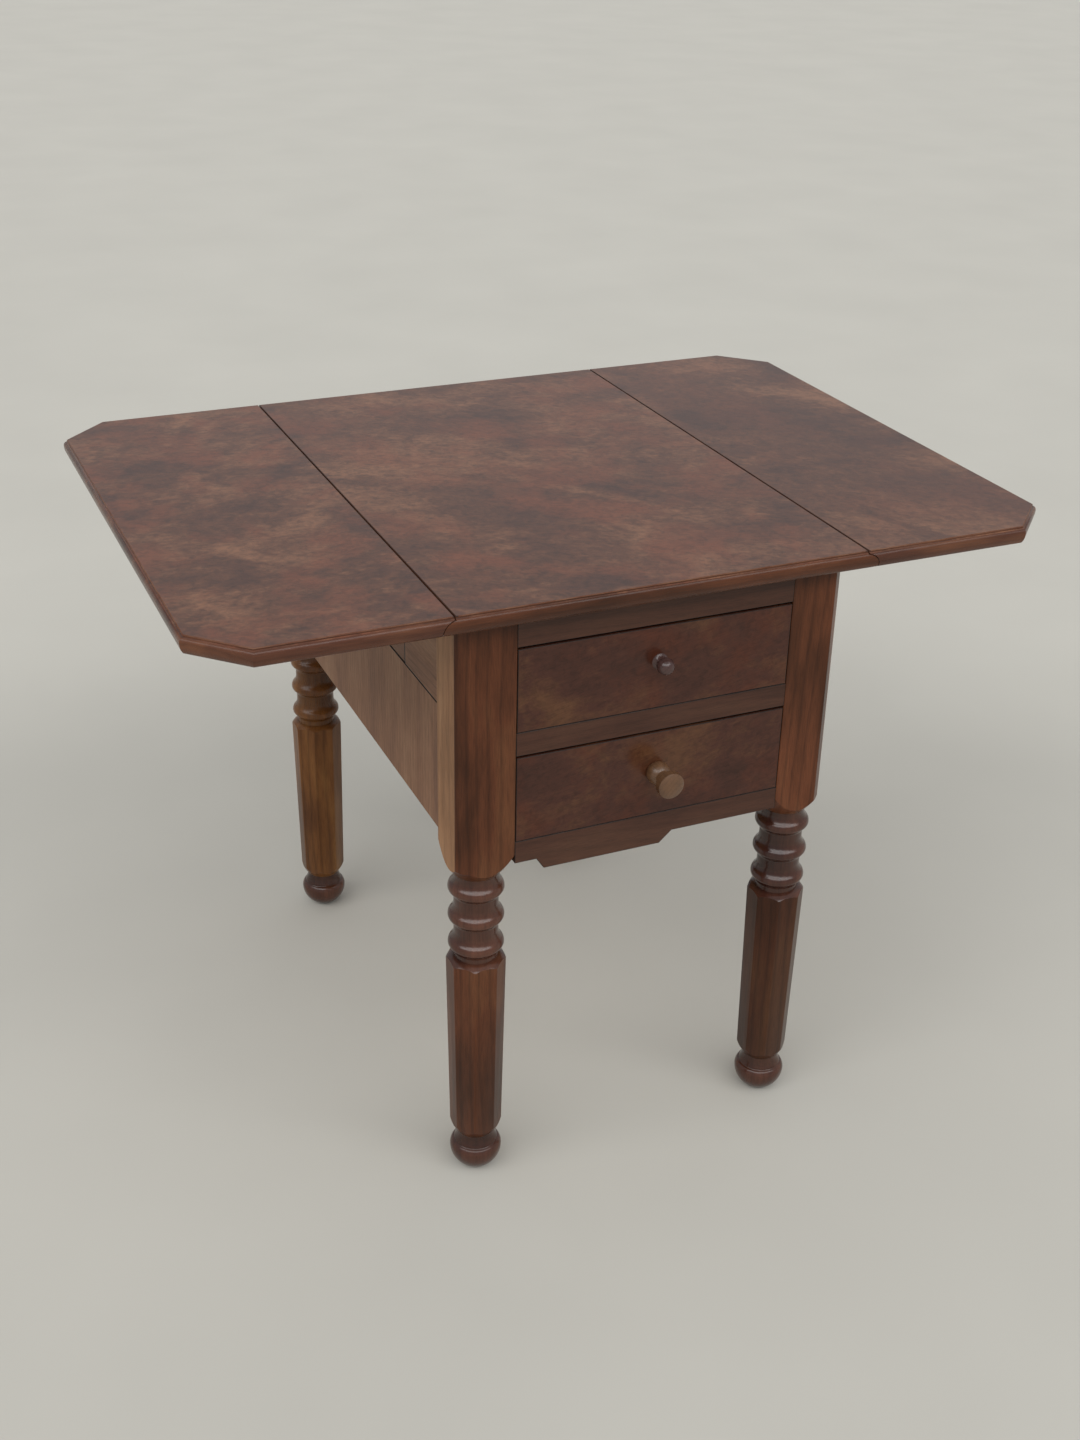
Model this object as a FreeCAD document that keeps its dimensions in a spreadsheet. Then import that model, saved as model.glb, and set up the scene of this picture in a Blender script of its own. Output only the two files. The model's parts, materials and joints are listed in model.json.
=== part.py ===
import FreeCAD, Part
import math
import os
import re
import Sketcher
from FreeCAD import Placement, Rotation, Vector

# Driving sizes in millimetres. Z is up, the drawers face -Y and the floor is z = 0.
SIZES = {
    # The top and its moulded edge
    "table_height": (740, "floor to the upper face of the top"),
    "top_thickness": (20, "thickness of the bed and the leaves"),
    "top_depth": (718, "front edge to back edge of the top"),
    "bed_width": (470, "seam to seam across the fixed bed"),
    "leaf_width": (259, "seam to outer edge of a leaf"),
    "corner_clip": (56, "length cut off each side of a leaf's outer corner"),
    "edge_inset": (4, "upper arris in from the nose of the moulding"),
    "edge_quirk": (2, "depth of the small step under the upper arris"),
    "edge_nose": (8.5, "nose of the moulding below the upper face"),
    "edge_undercut": (4, "lower arris in from the nose"),
    "nose_round": (6, "radius of the moulding above its nose"),
    "belly_round": (17, "radius of the moulding below its nose"),
    # Rule joint and back-flap hinges
    "joint_fillet": (4, "square step at the top of the rule joint"),
    "pin_rise": (3, "hinge axis above the underside, also the knuckle radius"),
    "joint_gap": (0.9, "clearance between the round and the hollow"),
    "seam_gap": (1.4, "open seam between bed and leaf"),
    "hinge_length": (60, "length of a hinge along the seam"),
    "hinge_plate": (2, "thickness of a hinge plate"),
    "hinge_top_reach": (32, "hinge axis to the far edge of the bed's plate"),
    "hinge_leaf_reach": (46, "hinge axis to the far edge of the leaf's plate"),
    "hinge_knuckle": (24, "length of the middle knuckle"),
    "hinge_pin_radius": (1.5, "radius of the hinge pin"),
    "hinge_play": (0.3, "gap round the knuckles"),
    "hinge_spacing": (440, "distance between the two hinges of a leaf"),
    "running_gap": (0.05, "radial clearance of a pin in its hole"),
    "screw_head": (3.6, "radius of a countersunk head"),
    "screw_shank": (1.8, "radius of a screw's shank"),
    "screw_length": (14, "length of a hinge screw"),
    "screw_gap": (0.05, "clearance of a screw in its hole"),
    "screw_pitch": (40, "distance between the two outer screws of a plate"),
    "screw_edge": (8, "outer screws in from the plate's far edge"),
    "screw_row": (12, "inner screw in from the outer two"),
    # Case
    "drawer_opening": (321, "width between the posts"),
    "case_depth": (669, "front face to back face of the posts"),
    "post_width": (64, "side of a square post"),
    "post_length": (312, "length of a post down from the bed, with its turned end"),
    "post_chamfer": (12, "canted outer corner of a post"),
    "top_rail_height": (36, "rail above the upper drawer"),
    "upper_drawer_height": (98, "opening of the upper drawer"),
    "middle_rail_height": (27.5, "rail between the drawers"),
    "lower_drawer_height": (104, "opening of the lower drawer"),
    "bottom_rail_height": (27, "rail under the lower drawer"),
    "rail_depth": (45, "front to back of a drawer rail"),
    "tenon_length": (25, "length of a rail's tenon"),
    "tenon_thickness": (16, "thickness of a rail's tenon"),
    "tenon_shoulder": (5, "shoulder above and below a tenon"),
    "glue_gap": (0.1, "room left for glue in a joint"),
    "drop_depth": (13.5, "drop on the lower edge of the bottom rail"),
    "drop_left": (126, "left corner of the drop from the middle"),
    "drop_right": (14, "right corner of the drop from the middle"),
    "drop_slope_left": (9, "width of the drop's left slope"),
    "drop_slope_right": (15, "width of the drop's right slope"),
    # Sides and back
    "side_reveal": (2, "side faces in from the posts' outer faces"),
    "side_thickness": (18, "thickness of the side panels and fly rails"),
    "panel_height": (153, "height of a side panel"),
    "tongue_length": (10, "length of a panel's tongue"),
    "tongue_thickness": (8, "thickness of a panel's tongue"),
    "inner_rail_thickness": (18, "thickness of an inner side rail"),
    "inner_rail_lap": (35, "inner rail below the fly rail's seam"),
    "inner_tenon_length": (20, "length of an inner rail's tenon"),
    "inner_tenon_thickness": (9, "thickness of an inner rail's tenon"),
    "back_reveal": (6, "back panel in from the posts' back faces"),
    "back_thickness": (18, "thickness of the back panel"),
    "back_height": (290, "height of the back panel"),
    # Fly brackets
    "fly_rail_height": (119, "height of the fly rail"),
    "pivot_offset": (60, "bracket pivot behind the middle of the table"),
    "bracket_length": (225, "pivot to the tip of a bracket"),
    "bracket_bevel": (10, "slope of a bracket's tip"),
    "bracket_gap": (1, "gap between a bracket's tip and the fixed rail"),
    "bracket_drop": (0.5, "bracket's upper edge below the bed"),
    "knuckle_gap": (0.4, "gap round the wooden knuckles"),
    "bracket_pin": (3, "radius of a bracket's pin"),
    "scoop_radius": (16, "finger hold in a bracket's lower edge"),
    "scoop_depth": (7, "depth of the finger hold"),
    "scoop_place": (112, "finger hold from a bracket's tip"),
    # Legs below the posts
    "post_end_height": (38, "height of a post's turned end"),
    "post_end_round": (120, "radius of that end's curve"),
    "neck_radius": (20.5, "radius at the bottom of the hollows between the rings"),
    "ring_root": (24, "radius where a ring meets the hollows beside it"),
    "ring_radius": (31.4, "radius of a turned ring"),
    "ring_height": (23, "height of a ring"),
    "ring_pitch": (36.4, "distance from ring to ring"),
    "ring_drop": (18.5, "middle of the upper ring below the post"),
    "shaft_neck": (4.5, "hollow between the lowest ring and the shaft"),
    "shaft_high": (62.8, "octagon across its flats at the top"),
    "shaft_low": (55.4, "octagon across its flats at the bottom"),
    "shaft_end_height": (13, "height of the octagon's turned upper end"),
    "shaft_end_round": (20, "radius of that end's curve"),
    "shaft_foot_height": (24, "height of the octagon's turned lower end"),
    "shaft_foot_round": (60, "radius of that end's curve"),
    "foot_height": (48.5, "height of the bun foot"),
    "foot_neck": (22, "radius of the neck above the foot"),
    "foot_neck_height": (3, "height of that neck"),
    "foot_radius": (30.3, "widest radius of the foot"),
    "foot_widest": (25, "widest place of the foot above the floor"),
    "foot_flat": (10, "radius of the foot's flat underside"),
    # Drawers
    "drawer_length": (560, "front face to back end of a drawer"),
    "drawer_front": (20, "thickness of a drawer front"),
    "drawer_side": (11, "thickness of a drawer side"),
    "drawer_back": (10, "thickness of a drawer back"),
    "drawer_bottom": (6, "thickness of a drawer bottom"),
    "drawer_gap": (0.75, "gap beside a drawer"),
    "drawer_top_gap": (2.5, "gap above a drawer front"),
    "runner_gap": (0.3, "gap under a drawer"),
    "side_drop": (5, "drawer sides lower than the front"),
    "front_lap": (6, "wood left in front of the lapped dovetails"),
    "tail_flare": (2.2, "spread of a dovetail on each side"),
    "pin_width": (7, "width between two tails at their roots"),
    "groove_depth": (5, "depth of the drawer bottom's groove"),
    "groove_rise": (9, "groove above a drawer's lower edge"),
    "runner_thickness": (14, "thickness of a runner"),
    "runner_reach": (14, "runner in from the posts' inner faces"),
    "guide_height": (20, "height of a drawer guide"),
    "kicker_thickness": (16, "thickness of a kicker"),
    "stop_height": (6, "height of a drawer stop"),
    "stop_width": (30, "width of a drawer stop"),
    "stop_offset": (90, "drawer stop from the middle"),
    "block_side": (20, "width and height of a glue block"),
    "block_length": (70, "length of a glue block"),
    "block_spacing": (180, "distance between glue blocks"),
    # Knobs
    "spigot_radius": (5, "radius of a knob's spigot"),
    "spigot_length": (14, "length of a knob's spigot"),
    "upper_knob_rise": (55, "upper knob above its opening's lower edge"),
    "upper_knob_offset": (2.5, "upper knob to the right of the middle"),
    "upper_knob_reach": (23, "upper knob in front of the drawer"),
    "upper_knob_radius": (9.5, "radius of the upper knob's ball"),
    "upper_knob_foot": (9, "radius of the upper knob's foot"),
    "upper_knob_waist": (5, "radius of the upper knob's waist"),
    "upper_waist_round": (7, "radius of that waist's hollow"),
    "lower_knob_rise": (55, "lower knob above its opening's lower edge"),
    "lower_knob_offset": (4, "lower knob to the right of the middle"),
    "lower_knob_reach": (43, "lower knob in front of the drawer"),
    "lower_knob_foot": (10, "radius of the lower knob's foot"),
    "lower_bulb_round": (12, "radius of the bulb's curve behind the waist"),
    "lower_knob_waist": (8, "radius of the lower knob's waist"),
    "lower_waist_place": (18, "waist of the lower knob in front of the drawer"),
    "lower_waist_round": (12, "radius of the hollow from waist to cap"),
    "lower_knob_radius": (15, "radius of the lower knob's cap"),
    "lower_cap_place": (31, "back of the cap in front of the drawer"),
    "lower_cap_rim": (8, "thickness of the cap's rim"),
}

# Counts, and a margin by which cutting outlines run past the wood
RINGS = 3
FINGERS = 5
TAILS = 3
MARGIN = 3
SIDES = {"left": -1, "right": 1}
ENDS = {"front": -1, "back": 1}

# Places worked out from the driving sizes
UNDER = "(table_height - top_thickness)"
SHIFT = "(lower_knob_reach + case_depth / 2 - top_depth / 2) / 2"
JOINT_ROUND = "(top_thickness - joint_fillet - pin_rise)"
POST_INNER_X = "(drawer_opening / 2)"
LEG_X = "(drawer_opening / 2 + post_width / 2)"
LEG_Y = "(case_depth / 2 - post_width / 2)"
POST_INNER_Y = "(case_depth / 2 - post_width)"
POST_BOTTOM = f"({UNDER} - post_length)"
LAST_RING_BOTTOM = f"({POST_BOTTOM} - ring_drop - {RINGS - 1} * ring_pitch - ring_height / 2)"
SHAFT_TOP = f"({LAST_RING_BOTTOM} - shaft_neck)"
SHAFT_BOTTOM = "(foot_height + foot_neck_height)"
SIDE_OUTER = "(drawer_opening / 2 + post_width - side_reveal)"
SIDE_INNER = f"({SIDE_OUTER} - side_thickness)"
SIDE_MIDDLE = f"({SIDE_OUTER} - side_thickness / 2)"
RAIL_INNER = f"({SIDE_INNER} - inner_rail_thickness)"
RAIL_MIDDLE = f"({SIDE_INNER} - inner_rail_thickness / 2)"
FLY_SEAM = f"({UNDER} - fly_rail_height)"
BACK_MIDDLE = "(case_depth / 2 - back_reveal - back_thickness / 2)"
UPPER_TOP = f"({UNDER} - top_rail_height)"
UPPER_BOTTOM = f"({UPPER_TOP} - upper_drawer_height)"
LOWER_TOP = f"({UPPER_BOTTOM} - middle_rail_height)"
LOWER_BOTTOM = f"({LOWER_TOP} - lower_drawer_height)"
RAIL_BOTTOM = f"({LOWER_BOTTOM} - bottom_rail_height)"

doc = FreeCAD.newDocument("DropLeafTable")
sheet = doc.addObject("Spreadsheet::Sheet", "Sizes")
for row, (size_name, (size, meaning)) in enumerate(SIZES.items(), start=1):
    sheet.set(f"A{row}", meaning)
    sheet.set(f"B{row}", str(size))
    sheet.setAlias(f"B{row}", size_name)
doc.recompute()
pieces = []


def bound(formula):
    """A formula of size names, as the document's expressions read it."""
    return re.sub(r"[a-z_]+", lambda word: f"Sizes.{word[0]}" if word[0] in SIZES else word[0], str(formula))


def number(formula):
    """What a formula of size names comes to now."""
    return float(sheet.evalExpression(str(formula)))


def place(item, x, y, z):
    """Binds where an item stands. Every y counts from the middle of the top."""
    for axis, formula in zip("xyz", (x, f"{SHIFT} + {y}", z)):
        item.setExpression(f"Placement.Base.{axis}", bound(formula))


def new_body(label, x="0", y="0", z="0"):
    """An empty body that is a piece of the table."""
    body = doc.addObject("PartDesign::Body", label)
    body.Label = label
    place(body, x, y, z)
    pieces.append(body)
    return body


def own(body, role):
    """One of the body's own planes or axes."""
    return next(item for item in body.Origin.OriginFeatures if item.Role == role)


def arc_between(start, end, radius, turn):
    """The shorter arc from start to end, bending left for turn 1 and right for turn -1."""
    chord = end - start
    to_centre = math.sqrt(max(radius**2 - chord.Length**2 / 4, 0))
    left = Vector(-chord.y, chord.x, 0).normalize()
    centre = (start + end) * 0.5 + left * (turn * to_centre)
    first, last = (start, end) if turn > 0 else (end, start)
    angles = [math.atan2(point.y - centre.y, point.x - centre.x) for point in (first, last)]
    return Part.ArcOfCircle(Part.Circle(centre, Vector(0, 0, 1), radius), *angles)


def fix(sketch, kind, *where, formula):
    """One constraint whose value follows a formula."""
    index = sketch.addConstraint(Sketcher.Constraint(kind, *where, number(formula)))
    sketch.setExpression(f"Constraints[{index}]", bound(formula))


def draw(sketch, outline):
    """Closes an outline. A corner is (u, v), or (u, v, radius, turn) where an arc ends there."""
    first = sketch.GeometryCount
    corners = [Vector(number(corner[0]), number(corner[1]), 0) for corner in outline]
    ends = []
    for index, corner in enumerate(outline):
        start, end = corners[index - 1], corners[index]
        turn = corner[3] if len(corner) > 2 else 1
        if len(corner) > 2:
            sketch.addGeometry(arc_between(start, end, number(corner[2]), turn))
        else:
            sketch.addGeometry(Part.LineSegment(start, end))
        ends.append((1, 2) if turn > 0 else (2, 1))
    for index, corner in enumerate(outline):
        edge = first + index
        after = (index + 1) % len(outline)
        meeting = (edge, ends[index][1], first + after, ends[after][0])
        sketch.addConstraint(Sketcher.Constraint("Coincident", *meeting))
        fix(sketch, "DistanceX", edge, ends[index][1], formula=corner[0])
        fix(sketch, "DistanceY", edge, ends[index][1], formula=corner[1])
        if len(corner) > 2:
            fix(sketch, "Radius", edge, formula=corner[2])


def draw_circle(sketch, u, v, radius):
    """A whole circle."""
    edge = sketch.addGeometry(Part.Circle(Vector(number(u), number(v), 0), Vector(0, 0, 1), number(radius)))
    fix(sketch, "DistanceX", edge, 3, formula=u)
    fix(sketch, "DistanceY", edge, 3, formula=v)
    fix(sketch, "Radius", edge, formula=radius)


def new_sketch(body, name, plane, outlines=(), circles=(), lift="0", turned=0):
    """A sketch on one of the body's own planes, lifted along its normal and turned about Z."""
    sketch = body.newObject("Sketcher::SketchObject", f"{body.Name}_{name}")
    sketch.AttachmentSupport = [(own(body, plane), "")]
    sketch.MapMode = "FlatFace"
    sketch.AttachmentOffset = Placement(Vector(), Rotation(Vector(0, 1, 0), turned))
    sketch.setExpression("AttachmentOffset.Base.z", bound(lift))
    for outline in outlines:
        draw(sketch, outline)
    for circle in circles:
        draw_circle(sketch, *circle)
    return sketch


def extrude(kind, body, sketch, length, towards):
    """Runs a sketch along its normal (1), against it (-1) or both ways (0)."""
    feature = body.newObject(f"PartDesign::{kind}", f"{sketch.Name}_{kind.lower()}")
    feature.Profile = sketch
    feature.setExpression("Length", bound(length))
    feature.SideType = "One side" if towards else "Symmetric"
    feature.Reversed = towards == (-1 if kind == "Pad" else 1)
    return feature


def pad(body, sketch, length, towards=1):
    """Adds wood."""
    extrude("Pad", body, sketch, length, towards)
    doc.recompute()


def cut(body, sketch, length, towards=0):
    """Takes wood away, and makes sure that it did."""
    before = body.Shape.Volume
    extrude("Pocket", body, sketch, length, towards)
    doc.recompute()
    if body.Shape.Volume >= before:
        raise RuntimeError(f"{sketch.Name} cuts nothing")


def turn_on_lathe(kind, body, sketch, axis):
    """A whole revolution of a sketch, added or taken away."""
    before = body.Shape.Volume if body.Tip else 0
    feature = body.newObject(f"PartDesign::{kind}", f"{sketch.Name}_{kind.lower()}")
    feature.Profile = sketch
    feature.ReferenceAxis = (own(body, axis), [""])
    feature.Angle = 360
    doc.recompute()
    if (body.Shape.Volume > before) != (kind == "Revolution"):
        raise RuntimeError(f"{sketch.Name} turns the wrong way")


def rectangle(low_u, high_u, low_v, high_v):
    """A rectangle's outline."""
    return [(low_u, low_v), (high_u, low_v), (high_u, high_v), (low_u, high_v)]


def block(name, x, y, z):
    """A plain block between a low and a high bound along each axis."""
    item = doc.addObject("Part::Box", name)
    for side, (low, high) in zip(("Length", "Width", "Height"), (x, y, z)):
        item.setExpression(side, bound(f"({high}) - ({low})"))
    place(item, x[0], y[0], z[0])
    return item


def rod(name, radius, length, x, y, z, along_y=False):
    """A round rod that starts at a point and runs along Z, or along Y."""
    item = doc.addObject("Part::Cylinder", name)
    item.setExpression("Radius", bound(radius))
    item.setExpression("Height", bound(length))
    if along_y:
        item.Placement = Placement(Vector(), Rotation(Vector(1, 0, 0), -90))
    place(item, x, y, z)
    return item


def piece(label, item):
    """Names a finished item as a piece of the table."""
    item.Label = label
    pieces.append(item)


def group(label, items):
    """Like pieces that share a name, as separate solids."""
    together = doc.addObject("Part::Compound", label)
    together.Links = items
    piece(label, together)


def fused(name, items):
    """Items joined into one solid."""
    whole = doc.addObject("Part::MultiFuse", name)
    whole.Shapes = items
    return whole


def mirrored(side, low, high):
    """Bounds along X that are given for the right side, on either side."""
    return (low, high) if side > 0 else (f"-({high})", f"-({low})")


def edge_waste(reach, side, cover):
    """What a moulding plane takes off the edge at a distance, on the side given."""
    outline = [
        (f"{reach} - edge_inset", f"top_thickness + {MARGIN}"),
        (f"{reach} - edge_inset", "top_thickness - edge_quirk"),
        (reach, "top_thickness - edge_nose", "nose_round", -side),
        (f"{reach} - edge_undercut", "0", "belly_round", -side),
        (f"{reach} - edge_undercut", f"-{MARGIN}"),
        (f"{reach} + {cover}", f"-{MARGIN}"),
        (f"{reach} + {cover}", f"top_thickness + {MARGIN}"),
    ]
    return [(f"{side} * ({corner[0]})", *corner[1:]) for corner in outline]


def hinge_places():
    """Middle of each hinge along the seam."""
    return [f"{end} * hinge_spacing / 2" for end in ENDS.values()]


def plate_screws(reach):
    """Places of a plate's three screws, out from the hinge axis and along the seam."""
    outer = f"({reach} - screw_edge)"
    return [(outer, "-screw_pitch / 2"), (outer, "screw_pitch / 2"), (f"({outer} - screw_row)", "0")]


def screw_holes(side, reach):
    """Pilot holes of the screws of one leaf's hinges, as circles."""
    return [
        (f"{side} * {out}", f"{middle} + {along}", "screw_shank + screw_gap")
        for middle in hinge_places()
        for out, along in plate_screws(reach)
    ]


def build_bed():
    """The fixed middle of the top, with a rule joint's round along each seam."""
    body = new_body("top_board", z=UNDER)
    seam = "bed_width / 2"
    foot = f"(bed_width / 2 + sqrt({JOINT_ROUND}^2 - pin_rise^2))"
    step = "top_thickness - joint_fillet"
    section = [
        (seam, "top_thickness"),
        (seam, step),
        (foot, "0", JOINT_ROUND, -1),
        (f"-{foot}", "0"),
        (f"-{seam}", step, JOINT_ROUND, -1),
        (f"-{seam}", "top_thickness"),
    ]
    pad(body, new_sketch(body, "section", "XZ_Plane", [section]), f"top_depth + 2 * {MARGIN}", 0)
    edges = [edge_waste("top_depth / 2", end, 2 * MARGIN) for end in ENDS.values()]
    cut(body, new_sketch(body, "edges", "YZ_Plane", edges), "bed_width * 2")
    plate_end = "(pin_rise + hinge_play)"
    beds = {
        "plates": ("hinge_plate", plate_end, "hinge_top_reach", -1),
        "knuckles": ("(pin_rise * 2 + hinge_play)", plate_end, plate_end, 1),
        "passages": ("(hinge_plate + hinge_play)", "0", f"({JOINT_ROUND} + {MARGIN})", 1),
    }
    for name, (depth, inward, outward, way) in beds.items():
        low, high = (inward, outward) if way < 0 else (f"-{inward}", outward)
        outlines = []
        for side in SIDES.values():
            for middle in hinge_places():
                ends = [f"{side} * (bed_width / 2 + {way} * ({bound_x}))" for bound_x in (low, high)]
                half = "(hinge_length / 2 + hinge_play)"
                outlines.append(rectangle(*ends, f"{middle} - {half}", f"{middle} + {half}"))
        cut(body, new_sketch(body, name, "XY_Plane", outlines), depth, 1)
    holes = []
    for side in SIDES.values():
        for u, v, radius in screw_holes(-side, "hinge_top_reach"):
            holes.append((f"{side} * bed_width / 2 + {u}", v, radius))
    cut(body, new_sketch(body, "screw_holes", "XY_Plane", circles=holes), "screw_length + screw_gap", 1)


def build_leaf(name, side):
    """A drop leaf: clipped corners, moulded edges and the hollow of the rule joint."""
    body = new_body(f"leaf_{name}", x=f"{side} * bed_width / 2", z=UNDER)
    wide = f"(top_depth / 2 + {MARGIN})"
    blank = rectangle(f"{side} * seam_gap", f"{side} * (leaf_width + {MARGIN})", f"-{wide}", wide)
    pad(body, new_sketch(body, "blank", "XY_Plane", [blank]), "top_thickness")
    hollow = f"({JOINT_ROUND} + joint_gap)"
    cove = [
        (f"{-side * MARGIN}", f"-{MARGIN}"),
        (f"{side} * {hollow}", f"-{MARGIN}"),
        (f"{side} * {hollow}", "pin_rise"),
        ("0", f"pin_rise + {hollow}", hollow, side),
        (f"{-side * MARGIN}", f"pin_rise + {hollow}"),
    ]
    cut(body, new_sketch(body, "cove", "XZ_Plane", [cove]), "top_depth * 2")
    ends = [edge_waste("top_depth / 2", end, 2 * MARGIN) for end in ENDS.values()]
    cut(body, new_sketch(body, "end_edges", "YZ_Plane", ends), "leaf_width * 3")
    outer = edge_waste("leaf_width", side, 2 * MARGIN)
    cut(body, new_sketch(body, "outer_edge", "XZ_Plane", [outer]), "top_depth * 2")
    clip_reach = f"((leaf_width + top_depth / 2 - corner_clip) * {math.sqrt(0.5)})"
    for end_name, end in ENDS.items():
        clip = edge_waste(clip_reach, side, "corner_clip")
        sketch = new_sketch(body, f"{end_name}_clip", "XZ_Plane", [clip], turned=45 * side * end)
        cut(body, sketch, "top_depth")
    beds = []
    for middle in hinge_places():
        low, high = f"{middle} - hinge_length / 2", f"{middle} + hinge_length / 2"
        beds.append(rectangle("0", f"{side} * hinge_leaf_reach", low, high))
    cut(body, new_sketch(body, "hinge_beds", "XY_Plane", beds), "hinge_plate", 1)
    holes = screw_holes(side, "hinge_leaf_reach")
    cut(body, new_sketch(body, "screw_holes", "XY_Plane", circles=holes), "screw_length + screw_gap", 1)


def hinge_plate(name, side, way, reach, knuckles, middle):
    """One plate of a back-flap hinge, with its knuckles rolled round the pin's place."""
    seam = f"{side} * bed_width / 2"
    out = side * way
    low, high = f"{middle} - hinge_length / 2", f"{middle} + hinge_length / 2"
    level = (UNDER, f"{UNDER} + hinge_plate")

    def across(near, far):
        bounds = (f"{seam} + {out} * ({near})", f"{seam} + {out} * ({far})")
        return bounds if out > 0 else bounds[::-1]

    axis = f"{UNDER} + pin_rise"
    plate_start = "pin_rise + hinge_play"
    solids = [block(f"{name}_plate", across(plate_start, reach), (low, high), level)]
    for index, (start, end) in enumerate(knuckles):
        start, end = f"{middle} + {start}", f"{middle} + {end}"
        solids.append(block(f"{name}_strap_{index}", across("0", plate_start), (start, end), level))
        length = f"({end}) - ({start})"
        solids.append(rod(f"{name}_roll_{index}", "pin_rise", length, seam, start, axis, True))
    bore_radius = "hinge_pin_radius + running_gap"
    sinks = [rod(f"{name}_bore", bore_radius, "hinge_length", seam, low, axis, True)]
    for index, (away, along) in enumerate(plate_screws(reach)):
        x, y = f"{seam} + {out} * {away}", f"{middle} + {along}"
        sinks.append(countersink(f"{name}_sink_{index}", x, y, "screw_gap"))
    plate = doc.addObject("Part::Cut", name)
    plate.Base = fused(f"{name}_solid", solids)
    plate.Tool = fused(f"{name}_sinks", sinks)
    return plate


def countersink(name, x, y, gap):
    """The cone of a screw's head, wider by a gap, from the underside up through a plate."""
    cone = doc.addObject("Part::Cone", name)
    cone.setExpression("Radius1", bound(f"screw_head + {gap}"))
    cone.setExpression("Radius2", bound(f"screw_shank + {gap}"))
    cone.setExpression("Height", bound("hinge_plate"))
    place(cone, x, y, UNDER)
    return cone


def hinge_screw(name, x, y):
    """A countersunk wood screw, driven up from the underside."""
    head = countersink(f"{name}_head", x, y, "0")
    shank = rod(f"{name}_shank", "screw_shank", "screw_length - hinge_plate", x, y, f"{UNDER} + hinge_plate")
    return fused(name, [head, shank])


def build_hinges():
    """Two back-flap hinges for each leaf: plates, pins and screws."""
    edge = "hinge_length / 2"
    inner = "hinge_knuckle / 2"
    top_knuckles = [(f"-{edge}", f"-{inner} - hinge_play"), (f"{inner} + hinge_play", edge)]
    leaf_knuckles = [(f"-{inner}", inner)]
    top_screws = []
    for name, side in SIDES.items():
        top_plates, leaf_plates, pins, leaf_screws = [], [], [], []
        for index, middle in enumerate(hinge_places()):
            tag = f"{name}_{index}"
            top_plates.append(hinge_plate(f"top_{tag}", side, -1, "hinge_top_reach", top_knuckles, middle))
            leaf_plates.append(hinge_plate(f"leaf_{tag}", side, 1, "hinge_leaf_reach", leaf_knuckles, middle))
            seam = f"{side} * bed_width / 2"
            start, axis = f"{middle} - {edge}", f"{UNDER} + pin_rise"
            pins.append(rod(f"pin_{tag}", "hinge_pin_radius", "hinge_length", seam, start, axis, True))
            for flap, way, reach, screws in (
                ("top", -1, "hinge_top_reach", top_screws),
                ("leaf", 1, "hinge_leaf_reach", leaf_screws),
            ):
                for number_in_plate, (away, along) in enumerate(plate_screws(reach)):
                    x, y = f"{seam} + {side * way} * {away}", f"{middle} + {along}"
                    screws.append(hinge_screw(f"{flap}_screw_{tag}_{number_in_plate}", x, y))
        group(f"hinge_top_plates_{name}", top_plates)
        group(f"hinge_leaf_plates_{name}", leaf_plates)
        group(f"hinge_pins_{name}", pins)
        group(f"hinge_leaf_screws_{name}", leaf_screws)
    group("hinge_top_screws", top_screws)


def octagon(across):
    """An octagon by its size across the flats."""
    flat = f"({across}) / 2"
    half_side = f"({across}) / 2 * {math.tan(math.pi / 8)}"
    first = [(flat, half_side), (half_side, flat)]
    second = [(f"-{half_side}", flat), (f"-{flat}", half_side)]
    return first + second + [(f"-({u})", f"-({v})") for u, v in first + second]


def turned_end(neck, level, corner, height, radius, way):
    """What the lathe takes off the end of a square or octagon that narrows down (1) or up (-1) to a neck."""
    beyond = f"{level} - {way * MARGIN}"
    full = f"{level} + {way} * {height}"
    return [(neck, beyond), (neck, level), (corner, full, radius, way), (corner, beyond)]


def bulge_round(depth, height):
    """Radius of an arc that swells by a depth over a height and runs upright at its widest."""
    return f"(({depth})^2 + ({height})^2) / (2 * ({depth}))"


def turned_outline():
    """Half the outline of the turned wood below a post: foot, the shaft's core and the rings."""
    ring_round = bulge_round("ring_radius - ring_root", "ring_height / 2")
    hollow_round = bulge_round("ring_root - neck_radius", "(ring_pitch - ring_height) / 2")
    outline = [
        ("0", "0"),
        ("foot_flat", "0"),
        ("foot_radius", "foot_widest", bulge_round("foot_radius - foot_flat", "foot_widest"), 1),
        ("foot_neck", "foot_height", bulge_round("foot_radius - foot_neck", "foot_height - foot_widest"), 1),
        ("foot_neck", SHAFT_BOTTOM),
        ("ring_root", SHAFT_TOP),
    ]
    for ring in reversed(range(RINGS)):
        middle = f"{POST_BOTTOM} - ring_drop - {ring} * ring_pitch"
        outline.append(("ring_root", f"{middle} - ring_height / 2", hollow_round, -1))
        outline.append(("ring_root", f"{middle} + ring_height / 2", ring_round, 1))
    return outline + [("ring_root", POST_BOTTOM, hollow_round, -1), ("0", POST_BOTTOM)]


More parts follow.
